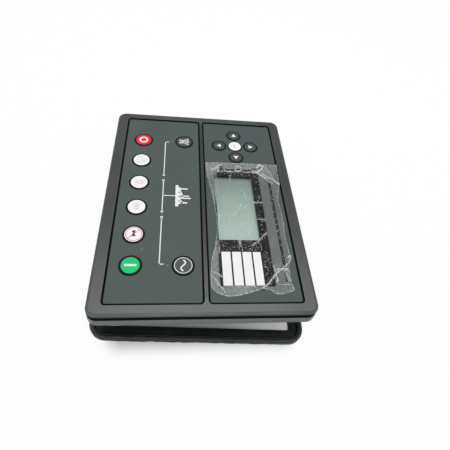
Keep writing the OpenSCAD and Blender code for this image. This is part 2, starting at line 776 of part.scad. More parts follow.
// Measuring transformer: a wound bobbin inside a laminated core
module current_transformer(i) {
    p = board_place(transformer_place_shares);
    core_z = (transformer_h - transformer_core_t) / 2;
    color("#7a5a2c") translate([p.x + i * (transformer_l + transformer_gap), p.y, main_board_top]) {
        difference() {
            translate([-transformer_l / 2, -transformer_w / 4, 0])
                cube([transformer_l, transformer_w / 2, transformer_h]);
            for (s = [-1, 1])
                translate([s * transformer_l / 4 - transformer_core_t / 2, -transformer_w / 2, transformer_core_t])
                    cube([transformer_core_t, transformer_w, transformer_h - 2 * transformer_core_t]);
        }
        translate([0, 0, core_z + transformer_core_t / 2])
            cube([transformer_l / 2, transformer_w, transformer_h - 2 * transformer_core_t], center = true);
    }
}

// Electrolytic capacitor with its crimped neck
module capacitor(i) {
    p = board_place(capacitor_place_shares);
    color("#24304f") translate([p.x + i * (2 * capacitor_r + capacitor_gap), p.y, main_board_top])
        difference() {
            cylinder(r = capacitor_r, h = capacitor_h);
            translate([0, 0, capacitor_h / 8]) rotate_extrude()
                translate([capacitor_r, 0]) circle(capacitor_groove);
            translate([0, 0, capacitor_h]) for (a = [0, 90]) rotate(a)
                cube([capacitor_r, capacitor_groove, capacitor_groove], center = true);
        }
}

// Toroidal choke lying on the board on a flat spot
module supply_choke() {
    p = board_place(choke_place_shares);
    color("#b5763a") translate([p.x, p.y, main_board_top + choke_wire_r - choke_flat]) difference() {
        rotate_extrude() translate([choke_r, 0]) circle(choke_wire_r);
        translate([0, 0, -choke_wire_r])
            cube([4 * choke_r, 4 * choke_r, 2 * choke_flat], center = true);
    }
}

// Processor with leads on its four sides
module processor_chip() {
    p = board_place(chip_place_shares);
    color("#17191b") translate([p.x, p.y, main_board_top]) {
        translate([-chip_w / 2, -chip_w / 2, chip_foot]) cube([chip_w, chip_w, chip_t]);
        for (a = [0:90:270]) rotate(a) for (i = [0:chip_leads - 1])
            translate([chip_w / 2 - chip_lead_t, (i - (chip_leads - 1) / 2) * chip_lead_pitch - chip_lead_w / 2, 0])
                cube([chip_lead_l + chip_lead_t, chip_lead_w, chip_foot + chip_lead_t]);
    }
}

// Place of a terminal pin in a header
function pin_place(h, i) = [h[0] + (i - (h[2] - 1) / 2) * way_pitch,
    h[1] * (header_row_y + header_w / 2 - header_wall - pin_offset)];

// Terminal header: an open box facing backwards, with a notch in its outer wall over each way
module terminal_header(k) {
    h = HEADERS[k];
    l = header_l(h[2]);
    y = h[1] * header_row_y;
    color("#2e6b45") difference() {
        translate([h[0] - l / 2, y - header_w / 2, header_sink]) cube([l, header_w, header_h]);
        translate([h[0] - l / 2 + header_wall, y - header_w / 2 + header_wall, header_sink - overrun])
            cube([l - 2 * header_wall, header_w - 2 * header_wall, header_h - header_floor + overrun]);
        for (i = [0:h[2] - 1]) {
            p = pin_place(h, i);
            w = pin_w + 2 * pin_gap;
            translate([p.x - w / 2, p.y - w / 2, header_sink]) cube([w, w, header_h + overrun]);
            translate([p.x - key_slot_w / 2, y - h[1] * header_w / 2 - header_wall, header_sink - overrun])
                cube([key_slot_w, 2 * header_wall, key_slot_h + overrun]);
        }
    }
}

module terminal_pins() {
    color("#c8c8c0") for (h = HEADERS, i = [0:h[2] - 1]) {
        p = pin_place(h, i);
        z0 = header_sink + pin_tip;
        translate([p.x - pin_w / 2, p.y - pin_w / 2, z0])
            cube([pin_w, pin_w, main_board_top + pin_tail - z0]);
    }
}

// Square computer socket with its tongue
module usb_socket() {
    bore_z = header_sink + header_h - header_floor;
    color("#b9bdc0") translate([usb_x, header_row_y, 0]) {
        difference() {
            translate([-usb_l / 2, -usb_w / 2, header_sink]) cube([usb_l, usb_w, header_h]);
            translate([0, 0, header_sink - overrun]) linear_extrude(bore_z - header_sink + overrun)
                polygon([
                    [-usb_bore_l / 2, -usb_bore_w / 2], [usb_bore_l / 2, -usb_bore_w / 2],
                    [usb_bore_l / 2, usb_bore_w / 2 - usb_chamfer],
                    [usb_bore_l / 2 - usb_chamfer, usb_bore_w / 2],
                    [usb_chamfer - usb_bore_l / 2, usb_bore_w / 2],
                    [-usb_bore_l / 2, usb_bore_w / 2 - usb_chamfer]
                ]);
        }
        translate([-usb_tongue_l / 2, -usb_tongue_w / 2, header_sink + usb_wall])
            cube([usb_tongue_l, usb_tongue_w, header_h - usb_wall]);
    }
}

// Outline of the serial socket's shell, wider on one side
module serial_outline(inset) {
    a = serial_shell_l / 2 - inset;
    b = serial_shell_w / 2 - inset;
    polygon([[-a, b], [a, b], [a - serial_pin_drop / 2, -b], [serial_pin_drop / 2 - a, -b]]);
}

module serial_socket() {
    flange_top = header_sink + header_h;
    color("#b9bdc0") translate([serial_x, header_row_y, 0]) {
        difference() {
            union() {
                translate([-serial_l / 2, -serial_w / 2, flange_top - serial_flange_t])
                    cube([serial_l, serial_w, serial_flange_t]);
                translate([0, 0, header_sink]) linear_extrude(header_h) serial_outline(0);
            }
            translate([0, 0, header_sink - overrun])
                linear_extrude(header_h - header_floor + overrun) serial_outline(serial_wall);
        }
        for (row = [0, 1], i = [0:4 - row])
            peg([(i - (4 - row) / 2) * serial_pin_pitch, (0.5 - row) * serial_pin_drop], serial_pin_r,
                header_sink + serial_wall, flange_top - header_floor / 2);
        for (s = [-1, 1]) peg([s * serial_post_x, 0], serial_post_r, shelf_z - serial_wall,
            flange_top - serial_flange_t / 2);
    }
}

// Rear case: an open tray with a raised middle, through which the headers pass
module rear_case() {
    color("#26292b") difference() {
        union() {
            difference() {
                union() {
                    slab(case_l, case_w, case_r, shelf_z, case_top);
                    slab(block_l, block_w, block_r, 0, shelf_z + case_t);
                }
                slab(case_l - 2 * case_t, case_w - 2 * case_t, case_r - case_t + screw_gap,
                    shelf_z + case_t, case_top + overrun);
                slab(block_l - 2 * case_t, block_w - 2 * case_t, block_r - case_t,
                    case_t, shelf_z + case_t + overrun);
            }
            for (p = POSTS) peg(p, post_r, shelf_z + case_t / 2, plate_z - bezel_boss_h);
            for (p = MAIN_BOSSES) peg(p, board_boss_r, case_t / 2, main_board_z);
        }
        for (p = POSTS) {
            peg(p, screw_head_r + screw_clear, shelf_z - overrun, shelf_z + head_sink);
            peg(p, screw_r + screw_clear, shelf_z, plate_z);
        }
        for (p = MAIN_BOSSES)
            peg(p, board_screw_r + screw_gap, main_board_z - board_bite - screw_gap, main_board_z + overrun);
        for (h = HEADERS) back_opening(h[0], h[1], header_l(h[2]), header_w);
        back_opening(usb_x, 1, usb_l, usb_w);
        back_opening(serial_x, 1, serial_l, serial_w);
        for (sx = [-1, 1], sy = [-1, 1], i = [-1, 0, 1])
            translate([sx * clip_x + i * clip_slot_pitch, sy * case_w / 2,
                    panel_z - clip_slot_top_gap - clip_slot_h / 2])
                cube([clip_slot_w, 4 * case_t, clip_slot_h], center = true);
    }
}

// Opening in the back for a header or socket
module back_opening(x, side, l, w) {
    translate([x, side * header_row_y, shelf_z + case_t / 2])
        cube([l + 2 * header_slot_gap, w + 2 * header_slot_gap, case_t + 2 * overrun], center = true);
}

// Soft ring between the case's front edge and the plate
module case_seal() {
    color("#1a1c1d") frame_ring(case_l - screw_gap, case_w - screw_gap, case_r, seal_w, case_top, plate_z);
}

module case_screws() {
    head_z = shelf_z + head_sink - screw_head_t;
    color("#b0b4b6") for (p = POSTS) difference() {
        union() {
            peg(p, screw_head_r, head_z, head_z + screw_head_t);
            peg(p, screw_r, head_z + screw_head_t / 2, plate_z - bezel_boss_h + screw_bite);
        }
        for (a = [0, 90]) translate([p.x, p.y, head_z]) rotate(a)
            cube([screw_head_r, screw_r / 2, screw_r], center = true);
    }
}

// Small screw with its head at one end, pointing up or down
module board_screw(p, z, up) {
    translate([p.x, p.y, z]) mirror([0, 0, up ? 0 : 1]) difference() {
        union() {
            translate([0, 0, -board_head_t]) cylinder(r = board_head_r, h = board_head_t);
            cylinder(r = board_screw_r, h = board_t + board_bite);
        }
        translate([0, 0, -board_head_t]) for (a = [0, 90]) rotate(a)
            cube([board_head_r, board_screw_r / 2, board_screw_r], center = true);
    }
}

module board_screws() {
    color("#b0b4b6") {
        for (p = DISPLAY_BOSSES) board_screw(p, display_board_z, true);
        for (p = MAIN_BOSSES) board_screw(p, main_board_top, false);
    }
}

// Sealing gasket: a ribbed flange inside a taller lip with a rolled edge
module panel_gasket() {
    flange_l = gasket_l - 2 * gasket_lip_w;
    flange_w = gasket_w - 2 * gasket_lip_w;
    flange_r = gasket_outer_r - gasket_lip_w;
    color("#141617") translate([gasket_shift_x, gasket_shift_y, 0]) rotate(gasket_turn) {
        linear_extrude(gasket_flange_t) difference() {
            round_rect(gasket_l, gasket_w, gasket_outer_r);
            round_rect(gasket_hole_l, gasket_hole_w, gasket_inner_r);
        }
        difference() {
            slab(gasket_l, gasket_w, gasket_outer_r, 0, gasket_h - gasket_lip_r);
            slab(flange_l, flange_w, flange_r, -overrun, gasket_h);
        }
        difference() {
            slab(gasket_l - gasket_lip_r, gasket_w - gasket_lip_r, gasket_outer_r - gasket_lip_r / 2,
                gasket_h / 2, gasket_h);
            slab(flange_l + gasket_lip_r, flange_w + gasket_lip_r, flange_r + gasket_lip_r / 2,
                0, gasket_h + overrun);
        }
        for (i = [1, 2])
            frame_ring(flange_l - 2 * i * gasket_rib_pitch, flange_w - 2 * i * gasket_rib_pitch,
                flange_r - gasket_rib_w * i, gasket_rib_w, gasket_flange_t / 2, gasket_flange_t + gasket_rib_h);
    }
}

front_bezel();
mode_overlay();
display_overlay();
display_window();
label_card();
protective_film();
mode_key(0, "#d8261c");  // stop_key
mode_key(1, "#e9e6e4");  // manual_key
mode_key(2, "#e9e6e4");  // test_key
mode_key(3, "#e9e6e4");  // auto_key
mode_key(4, "#e9e6e4");  // mute_key
mode_key(5, "#0fae5c");  // start_key
supply_key(0);  // mains_key
supply_key(1);  // generator_key
menu_key(0, "#e9e6e4");  // info_key
menu_key(1, "#262b2b");  // up_key
menu_key(2, "#262b2b");  // down_key
menu_key(3, "#262b2b");  // left_key
menu_key(4, "#262b2b");  // right_key
mode_key_mat();
menu_key_mat();
snap_domes();
light_pipes();
status_leds();
lcd_frame();
lcd_glass();
lcd_backlight();
display_board();
board_link_header();
board_link_socket();
main_board();
processor_chip();
supply_choke();
relay(0);  // relay_1
relay(1);  // relay_2
relay(2);  // relay_3
current_transformer(0);  // current_transformer_1
current_transformer(1);  // current_transformer_2
current_transformer(2);  // current_transformer_3
capacitor(0);  // capacitor_1
capacitor(1);  // capacitor_2
rear_case();
terminal_header(0);  // terminal_header_a
terminal_header(1);  // terminal_header_b
terminal_header(2);  // terminal_header_c
terminal_header(3);  // terminal_header_d
terminal_header(4);  // terminal_header_e
terminal_header(5);  // terminal_header_f
terminal_pins();
usb_socket();
serial_socket();
case_seal();
case_screws();
board_screws();
panel_gasket();
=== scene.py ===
import math

import bmesh
import bpy
import numpy as np
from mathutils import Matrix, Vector, noise


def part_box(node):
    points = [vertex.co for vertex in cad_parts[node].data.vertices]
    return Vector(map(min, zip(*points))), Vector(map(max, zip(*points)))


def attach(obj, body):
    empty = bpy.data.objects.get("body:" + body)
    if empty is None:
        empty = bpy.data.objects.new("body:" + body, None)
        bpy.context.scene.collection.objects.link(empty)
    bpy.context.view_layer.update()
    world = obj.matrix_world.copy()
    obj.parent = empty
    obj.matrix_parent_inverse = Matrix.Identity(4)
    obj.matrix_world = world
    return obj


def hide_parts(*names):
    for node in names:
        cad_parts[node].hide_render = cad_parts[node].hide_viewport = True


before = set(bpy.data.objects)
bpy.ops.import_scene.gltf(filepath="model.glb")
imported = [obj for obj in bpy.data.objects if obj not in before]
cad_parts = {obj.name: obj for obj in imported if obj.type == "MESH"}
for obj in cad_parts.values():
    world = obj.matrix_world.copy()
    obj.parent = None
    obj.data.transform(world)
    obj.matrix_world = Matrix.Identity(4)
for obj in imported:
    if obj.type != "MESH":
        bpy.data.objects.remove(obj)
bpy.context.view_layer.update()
mm = 0.001

# Camera
# It stands off the near short end of the controller and looks down along the fascia. The lens
# follows from the photograph's focal length in pixels of its width.
photo_side = 450
photo_focal = 349.4
sensor_side = 36.0
camera_place = (0.21932, -0.02416, 0.29573)
camera_turn = (36.22, -7.02, 86.36)


def new_object(name, data, place=(0.0, 0.0, 0.0), turn=(0.0, 0.0, 0.0)):
    """Object for the camera, a lamp or a mesh, put in the scene."""
    added = bpy.data.objects.new(name, data)
    added.location = place
    added.rotation_euler = [math.radians(a) for a in turn]
    bpy.context.scene.collection.objects.link(added)
    return added


view = bpy.data.cameras.new("view")
view.sensor_width = sensor_side
view.lens = photo_focal / photo_side * sensor_side
view.clip_start = 0.01
bpy.context.scene.camera = new_object("view", view, camera_place, camera_turn)

# Light
# A bright room: soft white light from all round, stronger from above, and one long soft lamp over
# the table, whose sheen lies along the near rim of the bezel.
room_low = 0.42
room_high = 0.80
lamp_size = (0.34, 1.1)
lamp_power = 5.0
lamp_place = (-0.27, 0.09, 1.0)


def add_node(tree, kind, entries=None, **settings):
    """New node of one kind, with its settings, and values for its entries by name or number."""
    added = tree.nodes.new(kind)
    for label, value in settings.items():
        setattr(added, label, value)
    for entry, value in (entries or {}).items():
        added.inputs[entry].default_value = value
    return added


def wire(tree, *joints):
    """Join sockets: each joint is a node, its output, the next node and the entry there."""
    for source, output, target, entry in joints:
        tree.links.new(source.outputs[output], target.inputs[entry])


def chain(tree, *nodes):
    """Join each node's first output to the first entry of the next."""
    for before, after in zip(nodes, nodes[1:]):
        tree.links.new(before.outputs[0], after.inputs[0])


room = bpy.data.worlds.new("room")
room.use_nodes = True
tree = room.node_tree
sky = tree.nodes["Background"]
sky.inputs["Color"].default_value = (1.0, 1.0, 1.0, 1.0)
heading = add_node(tree, "ShaderNodeTexCoord")
axes = add_node(tree, "ShaderNodeSeparateXYZ")
rise = add_node(tree, "ShaderNodeMapRange", {"To Min": room_low, "To Max": room_high})
wire(tree, (heading, "Generated", axes, "Vector"), (axes, "Z", rise, "Value"),
     (rise, "Result", sky, "Strength"))
bpy.context.scene.world = room
soft_lamp = bpy.data.lights.new("soft_lamp", "AREA")
soft_lamp.shape = "RECTANGLE"
soft_lamp.size, soft_lamp.size_y = lamp_size
soft_lamp.energy = lamp_power
new_object("soft_lamp", soft_lamp, lamp_place)
bpy.context.scene.view_settings.view_transform = "Standard"

# Table top
# A plain white table that runs past the picture on all sides. Away from the controller it is plain
# white to the camera; under it and close to its near edge it is a lit surface that holds the
# shadow, and there a painted light adds glow that grows towards the +Y side, under the gasket's opening.
table_side = 8.0
table_shade = (0.86, 0.87, 0.86, 1.0)
table_rough = 0.9
table_glow = 0.95
shadow_half = (0.119, 0.066, 0.0)
shadow_fade = (0.000, 0.022)
# painted light under the gasket's opening: how much glow, and the Y over which it rises
painted_gap_light = 0.30
painted_gap_reach = (0.015, 0.085)


def new_piece(name, mesh, finish):
    """Object at the origin for a mesh that is drawn in place."""
    data = bpy.data.meshes.new(name)
    mesh.to_mesh(data)
    mesh.free()
    data.materials.append(finish)
    return new_object(name, data)


table_paint = bpy.data.materials.new("table_paint")
table_paint.use_nodes = True
tree = table_paint.node_tree
shader = tree.nodes["Principled BSDF"]
shader.inputs["Base Color"].default_value = table_shade
shader.inputs["Roughness"].default_value = table_rough
place = add_node(tree, "ShaderNodeTexCoord")
folded = add_node(tree, "ShaderNodeVectorMath", operation="ABSOLUTE")
past = add_node(tree, "ShaderNodeVectorMath", {1: shadow_half}, operation="SUBTRACT")
outside = add_node(tree, "ShaderNodeVectorMath", {1: (0.0, 0.0, 0.0)}, operation="MAXIMUM")
away = add_node(tree, "ShaderNodeVectorMath", operation="LENGTH")
fade = add_node(tree, "ShaderNodeMapRange", {"From Min": shadow_fade[0], "From Max": shadow_fade[1],
                                             "To Max": table_glow}, interpolation_type="SMOOTHSTEP")
sides = add_node(tree, "ShaderNodeSeparateXYZ")
painted_light_in = add_node(tree, "ShaderNodeMapRange", {"From Min": painted_gap_reach[0], "From Max": painted_gap_reach[1],
                                               "To Max": painted_gap_light})
lighter = add_node(tree, "ShaderNodeMath", operation="MAXIMUM")
rays = add_node(tree, "ShaderNodeLightPath")
glow = add_node(tree, "ShaderNodeEmission")
mixed = add_node(tree, "ShaderNodeMixShader")
seen = add_node(tree, "ShaderNodeMath", operation="ADD")
seen_through = add_node(tree, "ShaderNodeMath", operation="ADD", use_clamp=True)
share = add_node(tree, "ShaderNodeMath", operation="MULTIPLY")
chain(tree, folded, past, outside, away)
chain(tree, rays, seen, seen_through, share, mixed, tree.nodes["Material Output"])
wire(tree, (place, "Object", folded, 0), (away, "Value", fade, "Value"),
     (place, "Object", sides, "Vector"), (sides, "Y", painted_light_in, "Value"), (fade, "Result", lighter, 0),
     (painted_light_in, "Result", lighter, 1), (lighter, 0, share, 1), (rays, "Is Glossy Ray", seen, 1),
     (rays, "Is Transmission Ray", seen_through, 1), (shader, "BSDF", mixed, 1),
     (glow, "Emission", mixed, 2))
table_mesh = bmesh.new()
bmesh.ops.create_grid(table_mesh, x_segments=1, y_segments=1, size=table_side / 2)
new_piece("table_top", table_mesh, table_paint)


# Front bezel
# One moulding in charcoal plastic with a fine spark-eroded skin. Its corners and front edge are
# round, so the imported solid is copied, its corners are merged and its round parts are smoothed. The
# band under the front edge and the bottoms of the grooves get a near-black finish as painted shade,
# and the skin is tinted by height, side and end with painted light and shade.
def colour_ramp(tree, stops):
    """Ramp through colours at rising places from 0 to 1."""
    ramp = add_node(tree, "ShaderNodeValToRGB")
    for i, (place, shade) in enumerate(stops):
        stop = ramp.color_ramp.elements[i] if i < 2 else ramp.color_ramp.elements.new(1.0)
        stop.position = place
        stop.color = (*shade, 1.0)
    return ramp


def surface_finish(name, shade, rough, mottle=0.12, patch=60.0, grain=1400.0, depth=0.02, metal=0.0,
                   stretch=(1.0, 1.0, 1.0), rough_spread=0.08, shine=0.5):
    """Finish with slow patches of shade and gloss and a fine grain in its surface."""
    finish = bpy.data.materials.new(name)
    finish.use_nodes = True
    tree = finish.node_tree
    coat = tree.nodes["Principled BSDF"]
    coat.inputs["Metallic"].default_value = metal
    coat.inputs["Specular IOR Level"].default_value = shine
    place = add_node(tree, "ShaderNodeTexCoord")
    mapping = add_node(tree, "ShaderNodeMapping", {"Scale": stretch})
    patches = add_node(tree, "ShaderNodeTexNoise", {"Scale": patch, "Detail": 4.0})
    tones = colour_ramp(tree, ((0.3, [c * (1 - mottle) for c in shade]),
                               (0.7, [min(1.0, c * (1 + mottle)) for c in shade])))
    gloss = add_node(tree, "ShaderNodeMapRange", {"To Min": rough - rough_spread,
                                                  "To Max": rough + rough_spread})
    skin = add_node(tree, "ShaderNodeTexNoise", {"Scale": grain, "Detail": 2.0})
    bump = add_node(tree, "ShaderNodeBump", {"Strength": 0.5, "Distance": depth * mm})
    chain(tree, mapping, patches, tones, coat)
    wire(tree, (place, "Object", mapping, "Vector"), (patches, "Fac", gloss, "Value"),
         (gloss, "Result", coat, "Roughness"), (place, "Object", skin, "Vector"),
         (skin, "Fac", bump, "Height"), (bump, "Normal", coat, "Normal"))
    return finish


def toned_along(finish, axis, tones, gone=None):
    """Multiply a finish's colour by tones at stated places in millimetres along one axis.

    With gone, an axis and two distances from the middle, the tones fade out between the two."""
    tree = finish.node_tree
    coat = tree.nodes["Principled BSDF"]
    colour = coat.inputs["Base Color"].links[0].from_socket
    start, end = tones[0][0], tones[-1][0]
    axes = add_node(tree, "ShaderNodeSeparateXYZ")
    reach = add_node(tree, "ShaderNodeMapRange", {"From Min": start * mm, "From Max": end * mm})
    scale = colour_ramp(tree, [((place - start) / (end - start), [tone] * 3) for place, tone in tones])
    product = add_node(tree, "ShaderNodeMix", {"Factor": 1.0}, data_type="RGBA", blend_type="MULTIPLY")
    if gone:
        side, near, far = gone
        distance = add_node(tree, "ShaderNodeMath", operation="ABSOLUTE")
        fade = add_node(tree, "ShaderNodeMapRange", {"From Min": near * mm, "From Max": far * mm,
                                                     "To Min": 1.0, "To Max": 0.0})
        wire(tree, (axes, side, distance, 0), (distance, 0, fade, "Value"),
             (fade, "Result", product, "Factor"))
    tree.links.new(colour, product.inputs["A"])
    wire(tree, (tree.nodes["Texture Coordinate"], "Object", axes, "Vector"), (axes, axis, reach, "Value"),
         (reach, "Result", scale, "Fac"), (scale, "Color", product, "B"),
         (product, "Result", coat, "Base Color"))


def dress(finish, *names):
    """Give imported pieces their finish."""
    for name in names:
        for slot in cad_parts[name].material_slots:
            slot.material = finish


def finished(piece):
    """Turn a piece's modifiers into its plain mesh."""
    drawn = piece.evaluated_get(bpy.context.evaluated_depsgraph_get())
    data = bpy.data.meshes.new_from_object(drawn)
    piece.modifiers.clear()
    piece.data = data


same_spot = 0.001 * mm
smooth_angle = 32.0
flat_area = 300.0 * mm ** 2
square_on = 0.9999


def smoothed(name, node, finish):
    """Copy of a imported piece, smooth over its round parts and even over its flats."""
    mesh = bmesh.new()
    mesh.from_mesh(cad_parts[node].data)
    bmesh.ops.remove_doubles(mesh, verts=mesh.verts, dist=same_spot)
    for face in mesh.faces:
        face.smooth = True
        face.material_index = 0
    piece = new_piece(name, mesh, finish)
    piece.data.set_sharp_from_angle(angle=math.radians(smooth_angle))
    flats = piece.modifiers.new("flats", "WEIGHTED_NORMAL")
    flats.keep_sharp = True
    finished(piece)
    ways = [corner.vector.copy() for corner in piece.data.corner_normals]
    for face in piece.data.polygons:
        if face.area > flat_area or max(abs(part) for part in face.normal) > square_on:
            for corner in face.loop_indices:
                ways[corner] = face.normal.copy()
    piece.data.normals_split_custom_set(ways)
    return piece


bezel_skin = surface_finish("bezel_skin", (0.076, 0.092, 0.087), 0.34, mottle=0.14, patch=45.0,
                            grain=1700.0, stretch=(0.35, 1.0, 1.0))
# near-black painted shade for the band under the front edge and the bottoms of the grooves
bezel_painted_shade = surface_finish("bezel_painted_shade", (0.008, 0.011, 0.010), 0.8, mottle=0.2, grain=1700.0,
                            depth=0.03, shine=0.0)
# painted by height: a dark painted shade band under the front edge, a painted highlight on the round front
# edge, and a paler skirt as painted light
height_light_and_shade = ((26.5, 0.95), (34.2, 1.15), (34.4, 0.1), (39.0, 0.1), (40.0, 0.3), (40.7, 1.3),
                (41.3, 1.5), (41.6, 1.0), (41.68, 0.62))
# painted shade on the long sides, darker on one side than the other and darkest on the outer walls
side_shade = ((-90.6, 0.2), (-90.0, 0.3), (-88.8, 0.80), (-80.0, 0.80), (-50.0, 1.0), (50.0, 1.0),
              (80.0, 0.64), (88.8, 0.64), (90.0, 0.3), (90.6, 0.2))
# painted shade in the grooves and on the bar between the two recesses, fading out towards the near end
divider_shade = ((-3.3, 1.0), (-3.1, 0.10), (-2.1, 0.2), (-1.2, 0.42), (1.2, 0.42), (2.1, 0.2),
                 (3.1, 0.10), (3.3, 1.0))
divider_shade_end = (104.0, 107.0)
# painted sheen: the near end of the bezel lightened
near_end_sheen = ((-121.0, 1.0), (98.0, 1.0), (110.0, 1.16), (121.0, 1.16))
toned_along(bezel_skin, "Z", height_light_and_shade)
toned_along(bezel_skin, "Y", side_shade)
toned_along(bezel_skin, "Y", divider_shade, gone=("X", *divider_shade_end))
toned_along(bezel_skin, "X", near_end_sheen)
band_low = 34.35 * mm
band_high = 38.9 * mm
groove_high = 41.6 * mm
groove_room = 2.0 * mm
grooves_low, grooves_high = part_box("mode_overlay")[0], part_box("display_overlay")[1]
bezel = smoothed("bezel_moulding", "front_bezel", bezel_skin)
bezel.data.materials.append(bezel_painted_shade)
# faces of that band and of the groove bottoms take the painted shade
for face in bezel.data.polygons:
    x, y, z = face.center
    in_groove = (grooves_low.x - groove_room < x < grooves_high.x + groove_room
                 and grooves_low.y - groove_room < y < grooves_high.y + groove_room)
    if band_low < z < band_high or (in_groove and band_high < z < groove_high):
        face.material_index = 1
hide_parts("front_bezel")
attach(bezel, "root")

# Fascia sheets
# Two sheets of printed polycarbonate in a dark grey green, with a fine velvet texture. They lie
# in the bezel's two recesses, glued to its front plate.
for name, shade, node in (("fascia_velvet", (0.060, 0.082, 0.075), "mode_overlay"),
                          ("display_velvet", (0.054, 0.078, 0.075), "display_overlay")):
    dress(surface_finish(name, shade, 0.55, mottle=0.07, patch=30.0, grain=2600.0, depth=0.015,
                         shine=0.35), node)
fascia_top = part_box("mode_overlay")[1].z

# Black edges of the fascia sheets
# Each sheet has a thin black line printed round its edge. A print is drawn as flat patches, which
# then get the thickness of a layer of ink and sink a little into the sheet.
edge_w = 0.35 * mm
sheet_corner_r = 2.2 * mm
ink_t = 0.04 * mm
thin_print = 0.02 * mm
ink_sink = 0.01 * mm


def sheet_print(name, shade, rough, shine, mottle=0.2, patch=60.0):
    """Finish of a colour that is printed on the fascia sheets."""
    return surface_finish(name, shade, rough, mottle=mottle, patch=patch, grain=2600.0, depth=0.01,
                          shine=shine)


def strip(mesh, near_row, far_row, closed=False):
    """Flat patches between two rows of points."""
    near, far = [[mesh.verts.new((p[0], p[1], 0.0)) for p in row] for row in (near_row, far_row)]
    for i in range(len(near) if closed else len(near) - 1):
        j = (i + 1) % len(near)
        mesh.faces.new((near[i], near[j], far[j], far[i]))


def round_outline(x0, y0, x1, y1, r, count=8):
    """Points round a rectangle with round corners."""
    centres = ((x1 - r, y1 - r), (x0 + r, y1 - r), (x0 + r, y0 + r), (x1 - r, y0 + r))
    turns = [[(i + k / count) * math.pi / 2 for k in range(count + 1)] for i in range(len(centres))]
    return [(x + r * math.cos(a), y + r * math.sin(a)) for (x, y), row in zip(centres, turns) for a in row]


def printed(name, mesh, body, ink_and_painted_glint, z, thickness=ink_t):
    """Turn flat patches into a thin layer of ink on a surface at height z."""
    lifted = bmesh.ops.extrude_face_region(mesh, geom=list(mesh.faces))["geom"]
    for part in lifted:
        if isinstance(part, bmesh.types.BMVert):
            part.co.z = thickness + ink_sink
    for vertex in mesh.verts:
        vertex.co.z += z - ink_sink
    bmesh.ops.recalc_face_normals(mesh, faces=mesh.faces)
    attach(new_piece(name, mesh, ink_and_painted_glint), body)


edge_print = sheet_print("edge_print", (0.008, 0.010, 0.010), 0.6, 0.2)
sheet_edges = bmesh.new()
for node in ("mode_overlay", "display_overlay"):
    low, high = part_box(node)
    strip(sheet_edges, round_outline(low.x, low.y, high.x, high.y, sheet_corner_r),
          round_outline(low.x + edge_w, low.y + edge_w, high.x - edge_w, high.y - edge_w,
                        sheet_corner_r - edge_w), closed=True)
printed("sheet_edges", sheet_edges, "root", edge_print, fascia_top, thickness=thin_print)


# Line diagram on the fascia
# White ink on the mode sheet: a line from the mains lamp to the generator lamp, broken at two
# switch lamps, with a branch to the sign of the load, a works building with its chimneys. It is
# drawn in millimetres.
def fill(mesh, points):
    """Flat patch inside a ring of points."""
    mesh.faces.new([mesh.verts.new((p[0], p[1], 0.0)) for p in points])


def bar(mesh, x0, y0, x1, y1):
    """Upright rectangle between two corners."""
    fill(mesh, [(x0, y0), (x1, y0), (x1, y1), (x0, y1)])


def circle_points(x, y, r, count=32):
    """Points round a circle."""
    turns = [2 * math.pi * i / count for i in range(count)]
    return [(x + r * math.cos(a), y + r * math.sin(a)) for a in turns]


def disc(mesh, x, y, r):
    """Round spot."""
    fill(mesh, circle_points(x, y, r))


def thin_ink(name, shade, mottle=0.08):
    """Finish of a thin smooth ink."""
    return surface_finish(name, shade, 0.45, mottle=mottle, grain=3000.0, depth=0.005)


def in_metres(mesh, x=0.0, y=0.0):
    """Bring a flat drawing from millimetres to metres, with its origin at a place."""
    for vertex in mesh.verts:
        vertex.co = (x + vertex.co.x * mm, y + vertex.co.y * mm, 0.0)
    return mesh


white_ink = thin_ink("white_ink", (0.80, 0.82, 0.82), mottle=0.05)
line_w = 0.9
dot_r = 1.25
diagram_y = -38.1
hook_y = -34.6
diagram_ends = (-75.2, 75.2)
switch_gaps = ((-26.0, -18.8), (19.7, 26.4))
branch_x = 0.5
works_base = (-26.3, -23.5)
works_top = -21.4
diagram = bmesh.new()
stops = [diagram_ends[0], *switch_gaps[0], *switch_gaps[1], diagram_ends[1]]
for start, end in zip(stops[::2], stops[1::2]):
    bar(diagram, start, diagram_y - line_w / 2, end, diagram_y + line_w / 2)
for x in stops[1:-1]:
    disc(diagram, x, diagram_y, dot_r)
for x, inward in zip(diagram_ends, (1, -1)):
    bar(diagram, x, diagram_y - line_w / 2, x + inward * line_w, hook_y)
bar(diagram, branch_x - line_w / 2, diagram_y, branch_x + line_w / 2, works_base[0])
printed("line_diagram", in_metres(diagram), "root", white_ink, fascia_top)

works_ends = (-13.0, 13.4)
hall_ends = (-10.2, 10.6)
window_xs = (-4.0, 1.5, 6.8)
pane_half = 0.62
lintel = 0.45
roofs = (((-6.9, -21.5), (1.0, -18.7), (2.6, -18.7), (3.2, -21.5)),
         ((5.2, -21.5), (7.6, -19.6), (9.6, -19.6), (9.6, -21.5)))
chimneys = ((-8.4, 1.5, -14.7), (0.7, 1.4, -13.3), (3.4, 1.5, -11.8), (9.0, 1.6, -15.2))
works = bmesh.new()
bar(works, works_ends[0], works_base[0], works_ends[1], works_base[1])
edges = [hall_ends[0], *[x + s * pane_half for x in window_xs for s in (-1, 1)], hall_ends[1]]
for start, end in zip(edges[::2], edges[1::2]):
    bar(works, start, works_base[1], end, works_top)
for x in window_xs:
    bar(works, x - pane_half, works_top - lintel, x + pane_half, works_top)
for outline in roofs:
    fill(works, outline[::-1])
for x, width, top in chimneys:
    bar(works, x - width / 2, works_top, x + width / 2, top)
printed("works_sign", in_metres(works), "root", white_ink, fascia_top)


# Keys
# Round caps in black plastic, each with a thin coloured face let into its top: red to stop, green
# to start, white for the modes and information, and dark for supplies and menu.
def face_finish(name, shade, mottle, shine):
    """Finish of a key's coloured face."""
    return surface_finish(name, shade, 0.42, mottle=mottle, grain=1200.0, depth=0.006, shine=shine)


